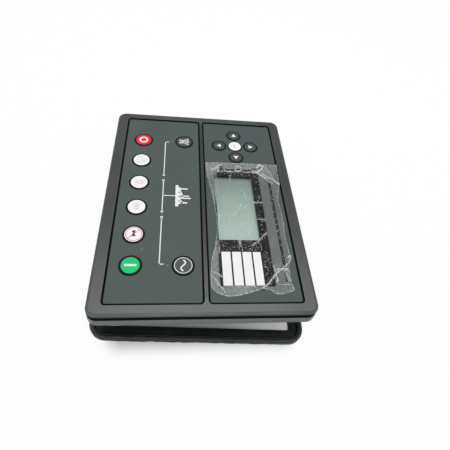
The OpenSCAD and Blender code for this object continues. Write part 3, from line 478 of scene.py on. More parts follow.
key_black = surface_finish("key_black", (0.008, 0.009, 0.010), 0.5, mottle=0.2, grain=1200.0, depth=0.01,
                           shine=0.25)
face_red = face_finish("face_red", (0.80, 0.018, 0.026), 0.05, 0.2)
face_green = face_finish("face_green", (0.003, 0.58, 0.16), 0.05, 0.15)
face_white = face_finish("face_white", (0.90, 0.89, 0.89), 0.02, 0.3)
face_dark = face_finish("face_dark", (0.050, 0.060, 0.058), 0.10, 0.35)
mode_face_r = 7.75 * mm
start_face_r = 7.4 * mm
info_face_r = 6.7 * mm
menu_face_r = 6.15 * mm
face_t = 0.12 * mm
face_edge = 0.05 * mm


def key_top(node):
    """Centre of a key's top."""
    low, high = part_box(node)
    return (low.x + high.x) / 2, (low.y + high.y) / 2, high.z + face_t


def key_face(node, radius, finish, count=64):
    """Thin round face on a key's top, with its edge broken."""
    x, y, top = key_top(node)
    mesh = bmesh.new()
    rings = []
    for r, z in ((radius, top - face_t - ink_sink), (radius, top - face_edge), (radius - face_edge, top)):
        rings.append([mesh.verts.new((px, py, z)) for px, py in circle_points(x, y, r, count)])
    for low_ring, high_ring in zip(rings, rings[1:]):
        for i in range(count):
            j = (i + 1) % count
            mesh.faces.new((low_ring[i], low_ring[j], high_ring[j], high_ring[i]))
    mesh.faces.new(rings[-1])
    mesh.faces.new(rings[0][::-1])
    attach(new_piece(node.replace("key", "face"), mesh, finish), node)


menu_keys = ("up_key", "down_key", "left_key", "right_key")
faces = ((face_red, mode_face_r, ("stop_key",)), (face_green, start_face_r, ("start_key",)),
         (face_white, mode_face_r, ("manual_key", "test_key", "auto_key", "mute_key")),
         (face_dark, mode_face_r, ("mains_key", "generator_key")),
         (face_white, info_face_r, ("info_key",)), (face_dark, menu_face_r, menu_keys))
for finish, radius, nodes in faces:
    dress(key_black, *nodes)
    for node in nodes:
        key_face(node, radius, finish)

# Black rims round the keys
# A thin black ring is printed on the fascia round each key's hole; each ring is moved to the near
# side, so it is wider there as a painted shadow of the cap.
rim_print_and_shadow = sheet_print("rim_print_and_shadow", (0.008, 0.009, 0.009), 0.6, 0.2)
rim_w = 0.6 * mm
# painted shadow: how far each ring is moved to the near side of its key
near_shadow_shift = 0.18 * mm
mode_hole_r = 9.05 * mm
menu_hole_r = 7.6 * mm
rims = bmesh.new()
for _, radius, nodes in faces:
    for node in nodes:
        x, y, _ = key_top(node)
        hole = mode_hole_r if radius > info_face_r else menu_hole_r
        strip(rims, circle_points(x + near_shadow_shift, y, hole + rim_w, 64), circle_points(x, y, hole, 64),
              closed=True)
printed("key_rims_and_shadows", rims, "root", rim_print_and_shadow, fascia_top, thickness=thin_print)


# Signs on the mode keys
# Thin ink on the key tops, drawn in millimetres round each key's middle: a ring to stop, a bar to
# start, a struck-out horn to mute, and faint grey or pink figures for hand, test and automatic.
def ring(mesh, r, width, x=0.0, y=0.0, count=48):
    """Round line."""
    strip(mesh, circle_points(x, y, r, count), circle_points(x, y, r - width, count), closed=True)


def line(mesh, points, width):
    """Line of even width along a row of points."""
    rows = ([], [])
    for i, p in enumerate(points):
        before, after = points[max(i - 1, 0)], points[min(i + 1, len(points) - 1)]
        along = Vector((after[0] - before[0], after[1] - before[1])).normalized()
        for side, row in zip((-1, 1), rows):
            row.append((p[0] - side * along.y * width / 2, p[1] + side * along.x * width / 2))
    strip(mesh, *rows)


def key_sign(name, node, ink_and_painted_glint, strokes, lift=0.0):
    """Print a sign on a key's top. Each stroke is a way to draw and its sizes."""
    sign = bmesh.new()
    for draw, *sizes in strokes:
        draw(sign, *sizes)
    x, y, z = key_top(node)
    printed(name, in_metres(sign, x, y), node, ink_and_painted_glint, z + lift)


red_ink = thin_ink("red_ink", (0.60, 0.10, 0.20))
dark_ink = thin_ink("dark_ink", (0.035, 0.028, 0.030))
grey_ink = thin_ink("grey_ink", (0.46, 0.48, 0.50), mottle=0.10)
pink_ink = thin_ink("pink_ink", (0.58, 0.33, 0.41), mottle=0.10)
maroon_ink = thin_ink("maroon_ink", (0.20, 0.018, 0.040))
figure_w = 0.5
strike_w = 0.6
fingers = [(line, [(across, -0.6), (across, reach)], figure_w)
           for across, reach in ((-2.4, 2.0), (-0.8, 3.0), (0.8, 3.1), (2.4, 2.5))]
palm = (line, [(-3.2, -0.6), (-3.0, -3.0), (0.0, -3.8), (3.0, -3.0), (3.2, -0.6)], figure_w)
head = (ring, 2.2, figure_w, 0.0, 0.2, 24)
arms = (line, [(2.0, -3.6), (0.0, -2.6), (-1.6, -3.4)], figure_w)
legs = (line, [(-3.2, 2.6), (-0.6, 3.8), (2.4, 3.0)], figure_w)
marks = [stroke for x in (-2.7, 0.0, 2.7) for y in (-1.7, 0.0, 1.7)
         for stroke in ((disc, x, y, 0.42), (ring, 0.8, 0.15, x, y, 12))]
horn = [(2.2, -2.0), (2.2, 2.0), (-1.4, 0.6), (-1.4, -0.6)]
grip = [(-1.4, -0.6), (-1.4, 0.6), (-2.6, 1.5), (-3.9, 1.5), (-3.9, -1.5), (-2.6, -1.5)]
key_sign("stop_sign", "stop_key", white_ink, [(ring, 4.7, 2.0)])
key_sign("start_sign", "start_key", white_ink, [(bar, -0.95, -4.9, 0.95, 4.9)])
key_sign("manual_sign", "manual_key", grey_ink, [*fingers, palm, (ring, 5.2, figure_w / 2)])
key_sign("test_sign", "test_key", pink_ink, [head, arms, legs])
key_sign("auto_sign", "auto_key", grey_ink, marks)
key_sign("mute_ring", "mute_key", red_ink,
         [(ring, 7.0, strike_w), (line, [(4.6, -4.6), (-4.6, 4.6)], strike_w)])
key_sign("mute_horn", "mute_key", maroon_ink, [(fill, horn)], lift=ink_t)
key_sign("mute_grip", "mute_key", dark_ink, [(fill, grip)], lift=ink_t)

# Signs on the supply and menu keys
# White ink on the dark keys: a pylon for the mains, a ringed sine wave for the generator, and an
# arrow head on each menu key. The information key has a small dark mark.
pylon_legs = [(line, [(side * 2.8, -5.2), (side * 0.6, 5.2)], 0.8) for side in (-1, 1)]
pylon_arms = [stroke for height, reach in ((0.4, 3.4), (2.9, 4.4))
              for stroke in ((bar, -reach, height, reach, height + 1.0), (disc, -reach, height + 1.1, 0.75),
                             (disc, reach, height + 1.1, 0.75))]
pylon_braces = [(line, [(-side * reach, low), (side * reach * 0.8, high)], 0.6)
                for low, high, reach in ((-5.0, -2.8, 2.4), (-2.8, -0.8, 1.9), (-0.8, 1.0, 1.5))
                for side in (1, -1)]
key_sign("mains_sign", "mains_key", white_ink, pylon_legs + pylon_arms + pylon_braces)

wave_l = 10.4
wave_h = 1.8
wave_w = 1.15
wave = [((t - 0.5) * wave_l, wave_h * math.sin(2 * math.pi * t)) for t in [i / 24 for i in range(25)]]
key_sign("generator_sign", "generator_key", white_ink, [(ring, 7.5, 0.55), (line, wave, wave_w)])

arrow_tip = 2.82
arrow_foot = 1.88
arrow_half = 2.7
info_place = Vector(key_top("info_key")[:2])
for node in menu_keys:
    ahead = (Vector(key_top(node)[:2]) - info_place).normalized()
    across = Vector((-ahead.y, ahead.x)) * arrow_half
    arrow = [ahead * arrow_tip, across - ahead * arrow_foot, -across - ahead * arrow_foot]
    key_sign(node.replace("key", "arrow"), node, white_ink, [(fill, arrow)])
key_sign("info_sign", "info_key", dark_ink, [(disc, -1.9, -0.6, 0.7), (bar, -0.6, -0.9, 2.6, -0.3)])

# Key mats, domes and lamps
# Black rubber mats under the keys show as the dark ring round each cap. A clear pin carries each
# lamp's light to the fascia, where its end is a faint blue-grey spot.
dress(surface_finish("mat_black", (0.010, 0.011, 0.012), 0.6, mottle=0.2, grain=900.0, depth=0.03),
      "mode_key_mat", "menu_key_mat")
dress(surface_finish("dome_steel", (0.62, 0.62, 0.60), 0.25, metal=1.0, grain=800.0, depth=0.01),
      "snap_domes")
dress(surface_finish("pin_resin", (0.095, 0.13, 0.15), 0.3, mottle=0.2, grain=700.0, depth=0.01),
      "light_pipes")
dress(surface_finish("lamp_resin", (0.72, 0.66, 0.38), 0.3, mottle=0.1), "status_leds")

# Display module
# A reflective display of grey-green glass in a thin metal frame, on its own back light. The glass
# has a dark painted shade along its far end, under the edge of the window print, and grows paler
# towards the near end.
lcd_low, lcd_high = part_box("lcd_glass")
# the first stops are painted shade along the far end; the rest grade the glass paler towards the near end
lcd_tones_and_shade = ((0.0, (0.030, 0.024, 0.016)), (0.012, (0.040, 0.036, 0.024)), (0.036, (0.20, 0.25, 0.22)),
             (0.35, (0.30, 0.40, 0.35)), (0.75, (0.40, 0.53, 0.47)), (1.0, (0.44, 0.57, 0.51)))
lcd_face = surface_finish("lcd_face", lcd_tones_and_shade[3][1], 0.25, mottle=0.06, grain=1500.0, depth=0.004)
tree = lcd_face.node_tree
axes = add_node(tree, "ShaderNodeSeparateXYZ")
reach = add_node(tree, "ShaderNodeMapRange", {"From Min": lcd_low.x, "From Max": lcd_high.x})
fade = colour_ramp(tree, lcd_tones_and_shade)
wire(tree, (tree.nodes["Texture Coordinate"], "Object", axes, "Vector"), (axes, "X", reach, "Value"),
     (reach, "Result", fade, "Fac"), (fade, "Color", tree.nodes["Principled BSDF"], "Base Color"))
dress(lcd_face, "lcd_glass")
dress(surface_finish("lcd_metal", (0.55, 0.56, 0.57), 0.35, metal=1.0, grain=900.0, depth=0.01),
      "lcd_frame")
dress(surface_finish("light_guide", (0.80, 0.83, 0.76), 0.4, mottle=0.03), "lcd_backlight")

# Label card
# A white paper card under the window, for naming the alarm lamps. Four strips of it show.
dress(surface_finish("card_paper", (0.97, 0.97, 0.97), 0.7, mottle=0.02, grain=1000.0, depth=0.005),
      "label_card")

# Window print
# Black ink on the back of the clear window hides everything but the display and the four label
# strips. It is one thin layer with five openings.
window_low, window_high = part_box("display_window")
print_edge = 0.9 * mm
print_z = window_low.z - 0.05 * mm
display_x = (-28.0 * mm, 49.4 * mm)
display_y = (12.9 * mm, 50.2 * mm)
label_x = (61.7 * mm, 93.9 * mm)
label_ys = ((14.2 * mm, 22.0 * mm), (23.4 * mm, 31.2 * mm), (32.5 * mm, 40.4 * mm), (41.7 * mm, 48.7 * mm))
openings = [(display_x, display_y)] + [(label_x, ys) for ys in label_ys]
cuts_x = sorted({window_low.x + print_edge, window_high.x - print_edge, *display_x, *label_x})
cuts_y = sorted({window_low.y + print_edge, window_high.y - print_edge, *display_y,
                 *[y for ys in label_ys for y in ys]})
black_print = bmesh.new()
for x0, x1 in zip(cuts_x, cuts_x[1:]):
    for y0, y1 in zip(cuts_y, cuts_y[1:]):
        x, y = (x0 + x1) / 2, (y0 + y1) / 2
        if not any(xs[0] < x < xs[1] and ys[0] < y < ys[1] for xs, ys in openings):
            bar(black_print, x0, y0, x1, y1)
bmesh.ops.remove_doubles(black_print, verts=black_print.verts, dist=same_spot)
black_ink = surface_finish("black_ink", (0.005, 0.006, 0.005), 0.35, mottle=0.3, patch=160.0, grain=2000.0,
                           depth=0.01, shine=0.1)
printed("window_print", black_print, "root", black_ink, print_z, thickness=thin_print)

# Window
# A hard clear acrylic window, set into the fascia sheet over the display and the labels. It is
# nearly invisible but for its gloss.
window_haze = 0.008
window_clear = surface_finish("window_clear", (0.02, 0.02, 0.02), 0.06, mottle=0.0, grain=300.0,
                              depth=0.002, rough_spread=0.02, shine=0.3)
window_clear.node_tree.nodes["Principled BSDF"].inputs["Alpha"].default_value = window_haze
dress(window_clear, "display_window")

# Name strip and line beside the window
# The bare grey strip where a name would be, printed on the display sheet, and a thin black band
# along its outer side, laid on the sheet as a thin layer.
name_strip_x, name_strip_y = (-31.0, 93.4), (57.9, 66.5)
side_line_x, side_line_y = (-24.0, 91.0), (66.7, 69.3)
strip_grey = sheet_print("strip_grey", (0.064, 0.075, 0.073), 0.5, 0.35, mottle=0.3, patch=420.0)
black_line = sheet_print("black_line", (0.006, 0.006, 0.006), 0.5, 0.1)
for name, (x0, x1), (y0, y1), finish in (("name_strip", name_strip_x, name_strip_y, strip_grey),
                                         ("side_line", side_line_x, side_line_y, black_line)):
    band = bmesh.new()
    bar(band, x0, y0, x1, y1)
    printed(name, in_metres(band), "root", finish, fascia_top)


# Dust under the film
# Pale flakes caught between the film and the black print, thickest beside the label strips. They
# are scattered from a fixed seed, each a thin flat flake turned its own way.
def new_tree(name, sizes):
    """Geometry Nodes tree with a geometry input, named sizes and one output."""
    tree = bpy.data.node_groups.new(name, "GeometryNodeTree")
    tree.interface.new_socket("Geometry", in_out="INPUT", socket_type="NodeSocketGeometry")
    for label, kind in sizes.items():
        tree.interface.new_socket(label, in_out="INPUT", socket_type="NodeSocket" + kind)
    tree.interface.new_socket("Geometry", in_out="OUTPUT", socket_type="NodeSocketGeometry")
    return tree, tree.nodes.new("NodeGroupInput"), tree.nodes.new("NodeGroupOutput")


def grow(piece, tree, sizes):
    """Run a tree on a piece with these sizes and keep the plain mesh."""
    step = piece.modifiers.new(tree.name, "NODES")
    step.node_group = tree
    for socket in tree.interface.items_tree:
        if socket.in_out == "INPUT" and socket.name in sizes:
            step[socket.identifier] = sizes[socket.name]
    finished(piece)


def spread_values(piece, label, domain, values):
    """Store one number for each face or point of a piece."""
    piece.data.attributes.new(label, "FLOAT", domain).data.foreach_set("value", values)


# Each zone: two corners in millimetres and how thickly the dust lies there
dust_zones = (((50.6, 13.0), (61.0, 50.5), 1.0), ((61.0, 50.0), (94.0, 57.0), 0.75),
              ((-27.5, 51.0), (50.0, 57.0), 0.35), ((-32.0, 13.0), (-28.6, 56.0), 0.6),
              ((-21.0, 67.1), (88.0, 68.7), 1.3))
dust_lift = 0.07 * mm
flakes = {"Per square metre": 3.0e5, "Radius": 0.36 * mm, "Seed": 7}
flake_t = 0.02 * mm
flake_sizes = {"Min": (0.35, 0.35, 1.0), "Max": (1.7, 1.1, 1.0)}
flake_turn = (0.0, 0.0, 6.28)
flake_pale = surface_finish("flake_pale", (0.42, 0.43, 0.39), 0.5, mottle=0.75, patch=700.0,
                            grain=3000.0, depth=0.005)
dust_field = bmesh.new()
for (x0, y0), (x1, y1), _ in dust_zones:
    bar(dust_field, x0, y0, x1, y1)
in_metres(dust_field)
for vertex in dust_field.verts:
    vertex.co.z = fascia_top + dust_lift
dust = new_piece("film_dust", dust_field, flake_pale)
spread_values(dust, "crowd", "FACE", [share for _, _, share in dust_zones])
scatter, given, out = new_tree("scatter_flakes", {"Per square metre": "Float", "Radius": "Float",
                                                  "Seed": "Int"})
crowding = add_node(scatter, "GeometryNodeInputNamedAttribute", {"Name": "crowd"}, data_type="FLOAT")
thickly = add_node(scatter, "ShaderNodeMath", operation="MULTIPLY")
spots = add_node(scatter, "GeometryNodeDistributePointsOnFaces")
flake = add_node(scatter, "GeometryNodeMeshCylinder", {"Vertices": 6, "Depth": flake_t})
turned = add_node(scatter, "FunctionNodeRandomValue", {"Max": flake_turn}, data_type="FLOAT_VECTOR")
sized = add_node(scatter, "FunctionNodeRandomValue", flake_sizes, data_type="FLOAT_VECTOR")
laid = add_node(scatter, "GeometryNodeInstanceOnPoints")
made = add_node(scatter, "GeometryNodeRealizeInstances")
coloured = add_node(scatter, "GeometryNodeSetMaterial", {"Material": flake_pale})
chain(scatter, given, spots, laid, made, coloured, out)
wire(scatter, (given, "Seed", spots, "Seed"), (given, "Radius", flake, "Radius"),
     (given, "Per square metre", thickly, 0), (crowding, "Attribute", thickly, 1),
     (thickly, 0, spots, "Density"), (given, "Seed", turned, "Seed"), (flake, "Mesh", laid, "Instance"),
     (turned, "Value", laid, "Rotation"), (sized, "Value", laid, "Scale"))
grow(dust, scatter, flakes)
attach(dust, "root")

# Protective film
# A thin clear film, left on over the display end of the fascia. It clings to the smooth window and
# shows milky past it, with sharp crumples along its far edge and long folds across two corners. Its
# milkiness also carries painted highlights along the creases, crumples and edges, and its colour
# carries painted dark glints beside them.
film_low, film_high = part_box("protective_film")
film_l = film_high.x - film_low.x
film_w = film_high.y - film_low.y
film_rows = 250
film_columns = 132
low_side = [(0.007, 0.008), (0.129, 0.025), (0.304, 0.085), (0.464, 0.116), (0.571, 0.118), (0.687, 0.080),
            (0.781, 0.028), (0.877, 0.013), (0.947, 0.015)]
near_side = [(0.947, 0.015), (0.981, 0.08), (1.0, 0.19), (0.996, 0.307), (0.975, 0.466), (0.958, 0.575),
             (0.961, 0.666), (0.986, 0.713), (0.989, 0.792), (0.979, 0.874), (0.966, 0.94)]
high_side = [(0.003, 1.02), (0.102, 1.02), (0.189, 1.01), (0.254, 0.979), (0.336, 0.944), (0.414, 0.966),
             (0.507, 0.966), (0.613, 0.946), (0.697, 0.961), (0.761, 0.966), (0.824, 0.924), (0.898, 0.917),
             (0.966, 0.94)]
far_side = [(0.007, 0.008), (0.004, 0.20), (0.0, 0.60), (0.002, 0.85), (0.003, 1.02)]


def spread_along(points, count):
    """Evenly spaced points along a softened row of points."""
    rough = np.array(points)
    steps = np.concatenate([[0.0], np.cumsum(np.linalg.norm(np.diff(rough, axis=0), axis=1))])
    even = np.linspace(0.0, steps[-1], count + 1)
    row = np.stack([np.interp(even, steps, rough[:, k]) for k in (0, 1)], axis=1)
    for _ in range(count // 16):
        row[1:-1] = (row[:-2] + 2 * row[1:-1] + row[2:]) / 4
    return row


low_row, high_row = spread_along(low_side, film_rows), spread_along(high_side, film_rows)
far_row, near_row = spread_along(far_side, film_columns), spread_along(near_side, film_columns)
u = np.linspace(0, 1, film_rows + 1)[:, None, None]
v = np.linspace(0, 1, film_columns + 1)[None, :, None]
shares = ((1 - v) * low_row[:, None] + v * high_row[:, None] + (1 - u) * far_row[None] + u * near_row[None]
          - (1 - u) * (1 - v) * low_row[0] - u * (1 - v) * low_row[-1]
          - (1 - u) * v * high_row[0] - u * v * high_row[-1])
plan = (shares.reshape(-1, 2) * (film_l, film_w) + (film_low.x, film_low.y)) / mm
across = film_columns + 1
row_number, column_number = np.divmod(np.arange(len(plan)), across)
from_edge = np.minimum(np.minimum(row_number, film_rows - row_number),
                       np.minimum(column_number, film_columns - column_number))


def rumple(step, seed):
    """Smooth random values from about -1 to 1, with features about 1 / step mm long."""
    return np.array([noise.noise((p[0] * step, p[1] * step, seed)) for p in plan])


jitter = np.stack([rumple(0.42, 3.0), rumple(0.42, 11.0)], axis=1)
patches = rumple(0.05, 1.0)
grains = rumple(0.45, 7.0)
fine_grains = rumple(1.1, 5.0)
shifted = plan + 0.9 * jitter


def crease(points, reach):
    """How near each point of the film is to a crease: 1 on it, falling to 0 past its reach."""
    nearest = np.full(len(plan), 1e6)
    for start, end in zip(points, points[1:]):
        start, way = np.array(start), np.array(end) - start
        along = np.clip(((shifted - start) @ way) / (way @ way), 0, 1)
        nearest = np.minimum(nearest, np.linalg.norm(shifted - start - along[:, None] * way, axis=1))
    return np.exp(-(nearest / reach) ** 2)


def beyond(values, start, width):
    """0 up to a start and 1 past a width after it. A negative width counts down."""
    return np.clip((values - start) / width, 0, 1)


# Each crease: its line in millimetres, its height, its half width and how bright its painted highlight is
creases = [
    ([(-34.8, 9.2), (-37.9, 13.6), (-40.8, 16.8)], 1.2, 1.0, 0.45),
    ([(-40.8, 16.8), (-42.7, 19.3), (-38.9, 21.6), (-34.4, 23.4)], 2.0, 0.9, 1.0),
    ([(-33.0, 15.8), (-37.8, 17.0), (-40.4, 18.8)], 1.4, 0.8, 0.8),
    ([(-33.8, 23.3), (-33.7, 27.4), (-34.0, 32.9), (-34.4, 36.5), (-34.7, 40.1)], 1.4, 0.8, 0.95),
    ([(-37.2, 24.5), (-37.8, 28.3), (-37.0, 32.5)], 1.6, 0.7, 0.45),
    ([(-34.4, 34.2), (-39.5, 34.8), (-42.1, 37.9), (-39.8, 40.2), (-35.4, 40.2)], 1.6, 0.8, 0.5),
    ([(-34.7, 40.1), (-33.6, 44.6), (-34.0, 50.2)], 1.4, 0.8, 0.9),
    ([(-36.8, 41.2), (-36.8, 46.1), (-36.0, 49.8)], 1.6, 0.7, 0.3),
    ([(-34.6, 50.3), (-38.6, 53.2), (-40.2, 57.2), (-43.8, 59.1), (-45.0, 61.0),
      (-41.3, 63.6)], 2.2, 1.0, 1.0),
    ([(-41.3, 63.6), (-37.3, 60.4), (-33.3, 56.4), (-33.3, 51.4)], 1.6, 0.9, 0.8),
    ([(-32.4, 56.3), (-29.2, 60.8), (-25.1, 65.3), (-21.1, 69.7)], 1.3, 0.9, 0.55),
    ([(-31.9, 61.2), (-27.2, 68.1), (-20.7, 74.6), (-16.0, 79.0)], 1.5, 0.9, 0.5),
    ([(-43.3, 65.8), (-30.7, 71.1), (-19.4, 75.6)], 0.9, 1.6, 0.14),
    ([(97.9, 45.7), (93.7, 50.7), (87.7, 56.1), (84.4, 58.6), (79.7, 65.5), (74.4, 70.6), (69.7, 74.4),
      (67.0, 75.3)], 2.4, 0.8, 0.7),
    ([(67.0, 75.3), (66.3, 73.3), (68.7, 71.8)], 1.8, 0.6, 0.9),
    ([(79.7, 60.9), (78.6, 62.4), (79.5, 63.9), (81.1, 62.8), (80.8, 61.2)], 1.6, 0.55, 0.9),
    ([(79.7, 66.0), (79.9, 67.8), (78.8, 70.1), (81.3, 69.0), (81.3, 66.5)], 1.6, 0.55, 0.85),
    ([(76.6, 58.4), (82.0, 58.9), (88.4, 59.9), (92.0, 59.4)], 1.2, 0.7, 0.6),
    ([(93.6, 59.6), (93.9, 66.4), (93.2, 70.4)], 0.8, 0.6, 0.3),
    ([(81.3, 5.0), (84.0, 9.8), (87.2, 13.5)], 0.9, 0.8, 0.32),
    ([(86.7, 5.8), (93.6, 10.2), (100.3, 15.1)], 0.9, 0.9, 0.30),
    ([(94.6, 14.5), (95.7, 26.4), (95.2, 37.2), (94.4, 47.6)], 0.8, 0.9, 0.22),
    ([(-21.0, 12.2), (-3.9, 12.2), (23.5, 13.6), (48.4, 13.2)], 0.5, 0.8, 0.20),
    ([(50.9, 12.5), (57.0, 12.4), (64.2, 12.3)], 0.5, 0.8, 0.2),
    ([(23.7, 26.6), (19.0, 30.9), (13.6, 34.2), (9.2, 36.3)], 0.3, 1.0, 0.2),
    ([(-8.9, 38.0), (-4.4, 40.2), (2.1, 41.6)], 0.2, 0.8, 0.15),
    ([(6.6, 48.7), (6.2, 52.8), (5.9, 57.6)], 0.3, 0.7, 0.45),
    ([(26.2, 49.3), (26.4, 53.8), (26.5, 58.3)], 0.3, 0.7, 0.42),
    ([(55.3, 42.7), (50.2, 48.6), (41.7, 56.8)], 0.4, 0.9, 0.36),
    ([(-20.2, 27.0), (-28.4, 28.6), (-36.9, 30.7)], 0.3, 0.7, 0.22),
    ([(49.9, 31.0), (56.7, 31.4)], 0.3, 0.8, 0.30),
    ([(-16.9, 26.2), (-10.6, 25.1)], 0.2, 0.7, 0.12),
    ([(14.4, 38.9), (9.6, 41.5)], 0.2, 0.9, 0.16),
    ([(25.3, 41.3), (21.2, 42.9)], 0.2, 0.8, 0.12),
    ([(36.8, 33.2), (30.6, 36.4)], 0.2, 0.9, 0.11),
    ([(20.1, 21.6), (32.7, 24.0)], 0.2, 0.9, 0.09),
    ([(20.0, 14.4), (30.0, 14.8)], 0.2, 0.8, 0.11),
    ([(39.0, 24.8), (47.3, 25.1)], 0.2, 0.8, 0.10),
    ([(2.0, 19.6), (8.4, 18.4)], 0.2, 0.8, 0.08),
    ([(38.4, 41.6), (44.6, 40.2)], 0.2, 0.8, 0.08),
]
# Painted dark glints, reflections beside the creases: the line in millimetres, its half width and how dark it
# shows
glints = [
    ([(-35.7, 24.6), (-35.8, 28.0)], 1.2, 1.0), ([(-35.7, 29.6), (-35.7, 32.6)], 1.2, 1.0),
    ([(-37.4, 36.2), (-37.2, 38.8)], 0.9, 1.0), ([(-35.6, 42.2), (-35.6, 45.6)], 1.2, 1.0),
    ([(-35.6, 47.0), (-35.7, 50.0)], 1.1, 1.0), ([(-36.0, 18.6), (-37.6, 20.8)], 1.3, 1.0),
    ([(-38.8, 18.4), (-40.2, 19.4)], 0.8, 0.9), ([(-37.2, 52.0), (-38.8, 56.0)], 0.8, 0.9),
    ([(-40.8, 60.6), (-38.4, 58.8)], 0.8, 0.9), ([(-24.2, 66.2), (-19.4, 71.0)], 0.8, 0.7),
    ([(80.3, 62.3), (80.4, 62.6)], 0.5, 0.8), ([(78.4, 70.8), (75.0, 73.4)], 0.7, 0.8),
    ([(82.2, 68.6), (90.0, 69.6)], 0.6, 0.7),
]
film_rest = 0.12
film_t = 0.08 * mm
veil_on_window = 0.009
veil_on_sheet = 0.090
veil_on_strip = 0.040
veil_on_line = 0.012
veil_most = 0.92
glint_from = 0.2
fold_clearing = 0.4
window_fade = 1.5
rim_y = 76.9
rim_lift = 0.9
crumples = [(-38.5, 12.0), (-38.5, 62.0)]
crumple_reach = 5.5
# Edges of zones of the film: where each starts in millimetres and over what width it changes
bridge_x, bridge_y = (8.0, -20.0), (15.4, -1.5)
strip_far_x, strip_near_x, strip_y = (-36.0, 10.0), (84.0, -12.0), (57.0, 1.5)
near_fold_x, near_fold_y = (80.0, 6.0), (56.0, 4.0)
x, y = shifted.T
window_half = ((window_high.x - window_low.x) / 2 / mm, (window_high.y - window_low.y) / 2 / mm)
window_middle = ((window_high.x + window_low.x) / 2 / mm, (window_high.y + window_low.y) / 2 / mm)
past_window = np.linalg.norm(np.clip(np.abs(shifted - window_middle) - window_half, 0, None), axis=1)
bridge = beyond(y, *bridge_y) * beyond(x, *bridge_x)
loose = np.maximum(beyond(past_window, 0.0, window_fade), bridge)
on_strip = beyond(y, *strip_y) * beyond(x, *strip_near_x) * beyond(x, *strip_far_x)
near_fold = beyond(x, *near_fold_x) * beyond(y, *near_fold_y)
on_line = ((side_line_x[0] < x) & (x < side_line_x[1])
           & (side_line_y[0] < plan[:, 1]) & (plan[:, 1] < side_line_y[1]))
loose_veil = veil_on_sheet + (veil_on_strip - veil_on_sheet) * on_strip
loose_veil *= 1 - fold_clearing * near_fold
loose_veil = np.where(on_line, veil_on_line, loose_veil)
veil_and_highlights = veil_on_window + (loose_veil - veil_on_window) * loose
veil_and_highlights *= 1 + 0.6 * patches + 0.5 * grains + 0.3 * fine_grains
height = film_rest + 0.35 * np.clip(patches + 0.2, 0, 1) + 0.12 * np.clip(grains, 0, 1)
ink_and_painted_glint = np.zeros(len(plan))
for points, rise, half_width, crease_highlight in creases:
    height += rise * 0.75 * crease(points, half_width * 1.4)
    # painted highlight along the crease, added to the milkiness
    veil_and_highlights += crease_highlight * crease(points, half_width * 0.68) * np.clip(0.72 + 1.1 * fine_grains, 0.12, 1.2)
for points, half_width, dark in glints:
    ink_and_painted_glint = np.maximum(ink_and_painted_glint, dark * np.clip(crease(points, half_width * 1.15) * 2.2, 0, 1))
# painted dark glints and painted highlights scattered in the crumples along the far edge
crumple_zone = crease(crumples, crumple_reach)
ink_and_painted_glint = np.maximum(ink_and_painted_glint, crumple_zone * np.clip(-fine_grains * 3.0 - 0.9, 0, 0.9))
veil_and_highlights = np.where(ink_and_painted_glint > glint_from, 0.9 * ink_and_painted_glint, veil_and_highlights)
veil_and_highlights += crumple_zone * 0.6 * np.clip(fine_grains * 2.4 - 0.75, 0, 1)
# painted highlight along the film's cut edges
edge_highlight = np.where(from_edge == 0, 0.36, np.where(from_edge == 1, 0.14, 0.0))
veil_and_highlights += edge_highlight * np.clip(0.7 + 1.2 * grains, 0.15, 1.2)
height += beyond(plan[:, 1], rim_y, 1.0) * rim_lift
film_mesh = bmesh.new()
film_points = [film_mesh.verts.new((p[0] * mm, p[1] * mm, fascia_top + h * mm)) for p, h in zip(plan, height)]
for i in range(film_rows):
    for j in range(film_columns):
        corner = i * across + j
        face = film_mesh.faces.new((film_points[corner], film_points[corner + across],
                                    film_points[corner + across + 1], film_points[corner + 1]))
        face.smooth = True
film_clear = surface_finish("film_clear", (0.88, 0.90, 0.90), 0.22, mottle=0.03, patch=200.0, grain=500.0,
                            depth=0.01)
tree = film_clear.node_tree
coat = tree.nodes["Principled BSDF"]
milky_and_highlights = add_node(tree, "ShaderNodeAttribute", attribute_name="veil_and_highlights")
glint = add_node(tree, "ShaderNodeAttribute", attribute_name="ink_and_painted_glint")
# painted dark glints darken the film's colour
darken = add_node(tree, "ShaderNodeMix", {"B": (0.008, 0.009, 0.009, 1.0)}, data_type="RGBA")
wire(tree, (glint, "Fac", darken, "Factor"), (tree.nodes["Color Ramp"], "Color", darken, "A"),
     (darken, "Result", coat, "Base Color"), (milky_and_highlights, "Fac", coat, "Alpha"))
film = new_piece("wrinkled_film", film_mesh, film_clear)
spread_values(film, "veil_and_highlights", "POINT", np.clip(veil_and_highlights, 0, veil_most).astype(np.float32))
spread_values(film, "ink_and_painted_glint", "POINT", ink_and_painted_glint.astype(np.float32))
thickness = film.modifiers.new("thickness", "SOLIDIFY")
thickness.thickness = film_t
thickness.offset = 1.0
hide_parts("protective_film")
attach(film, "root")

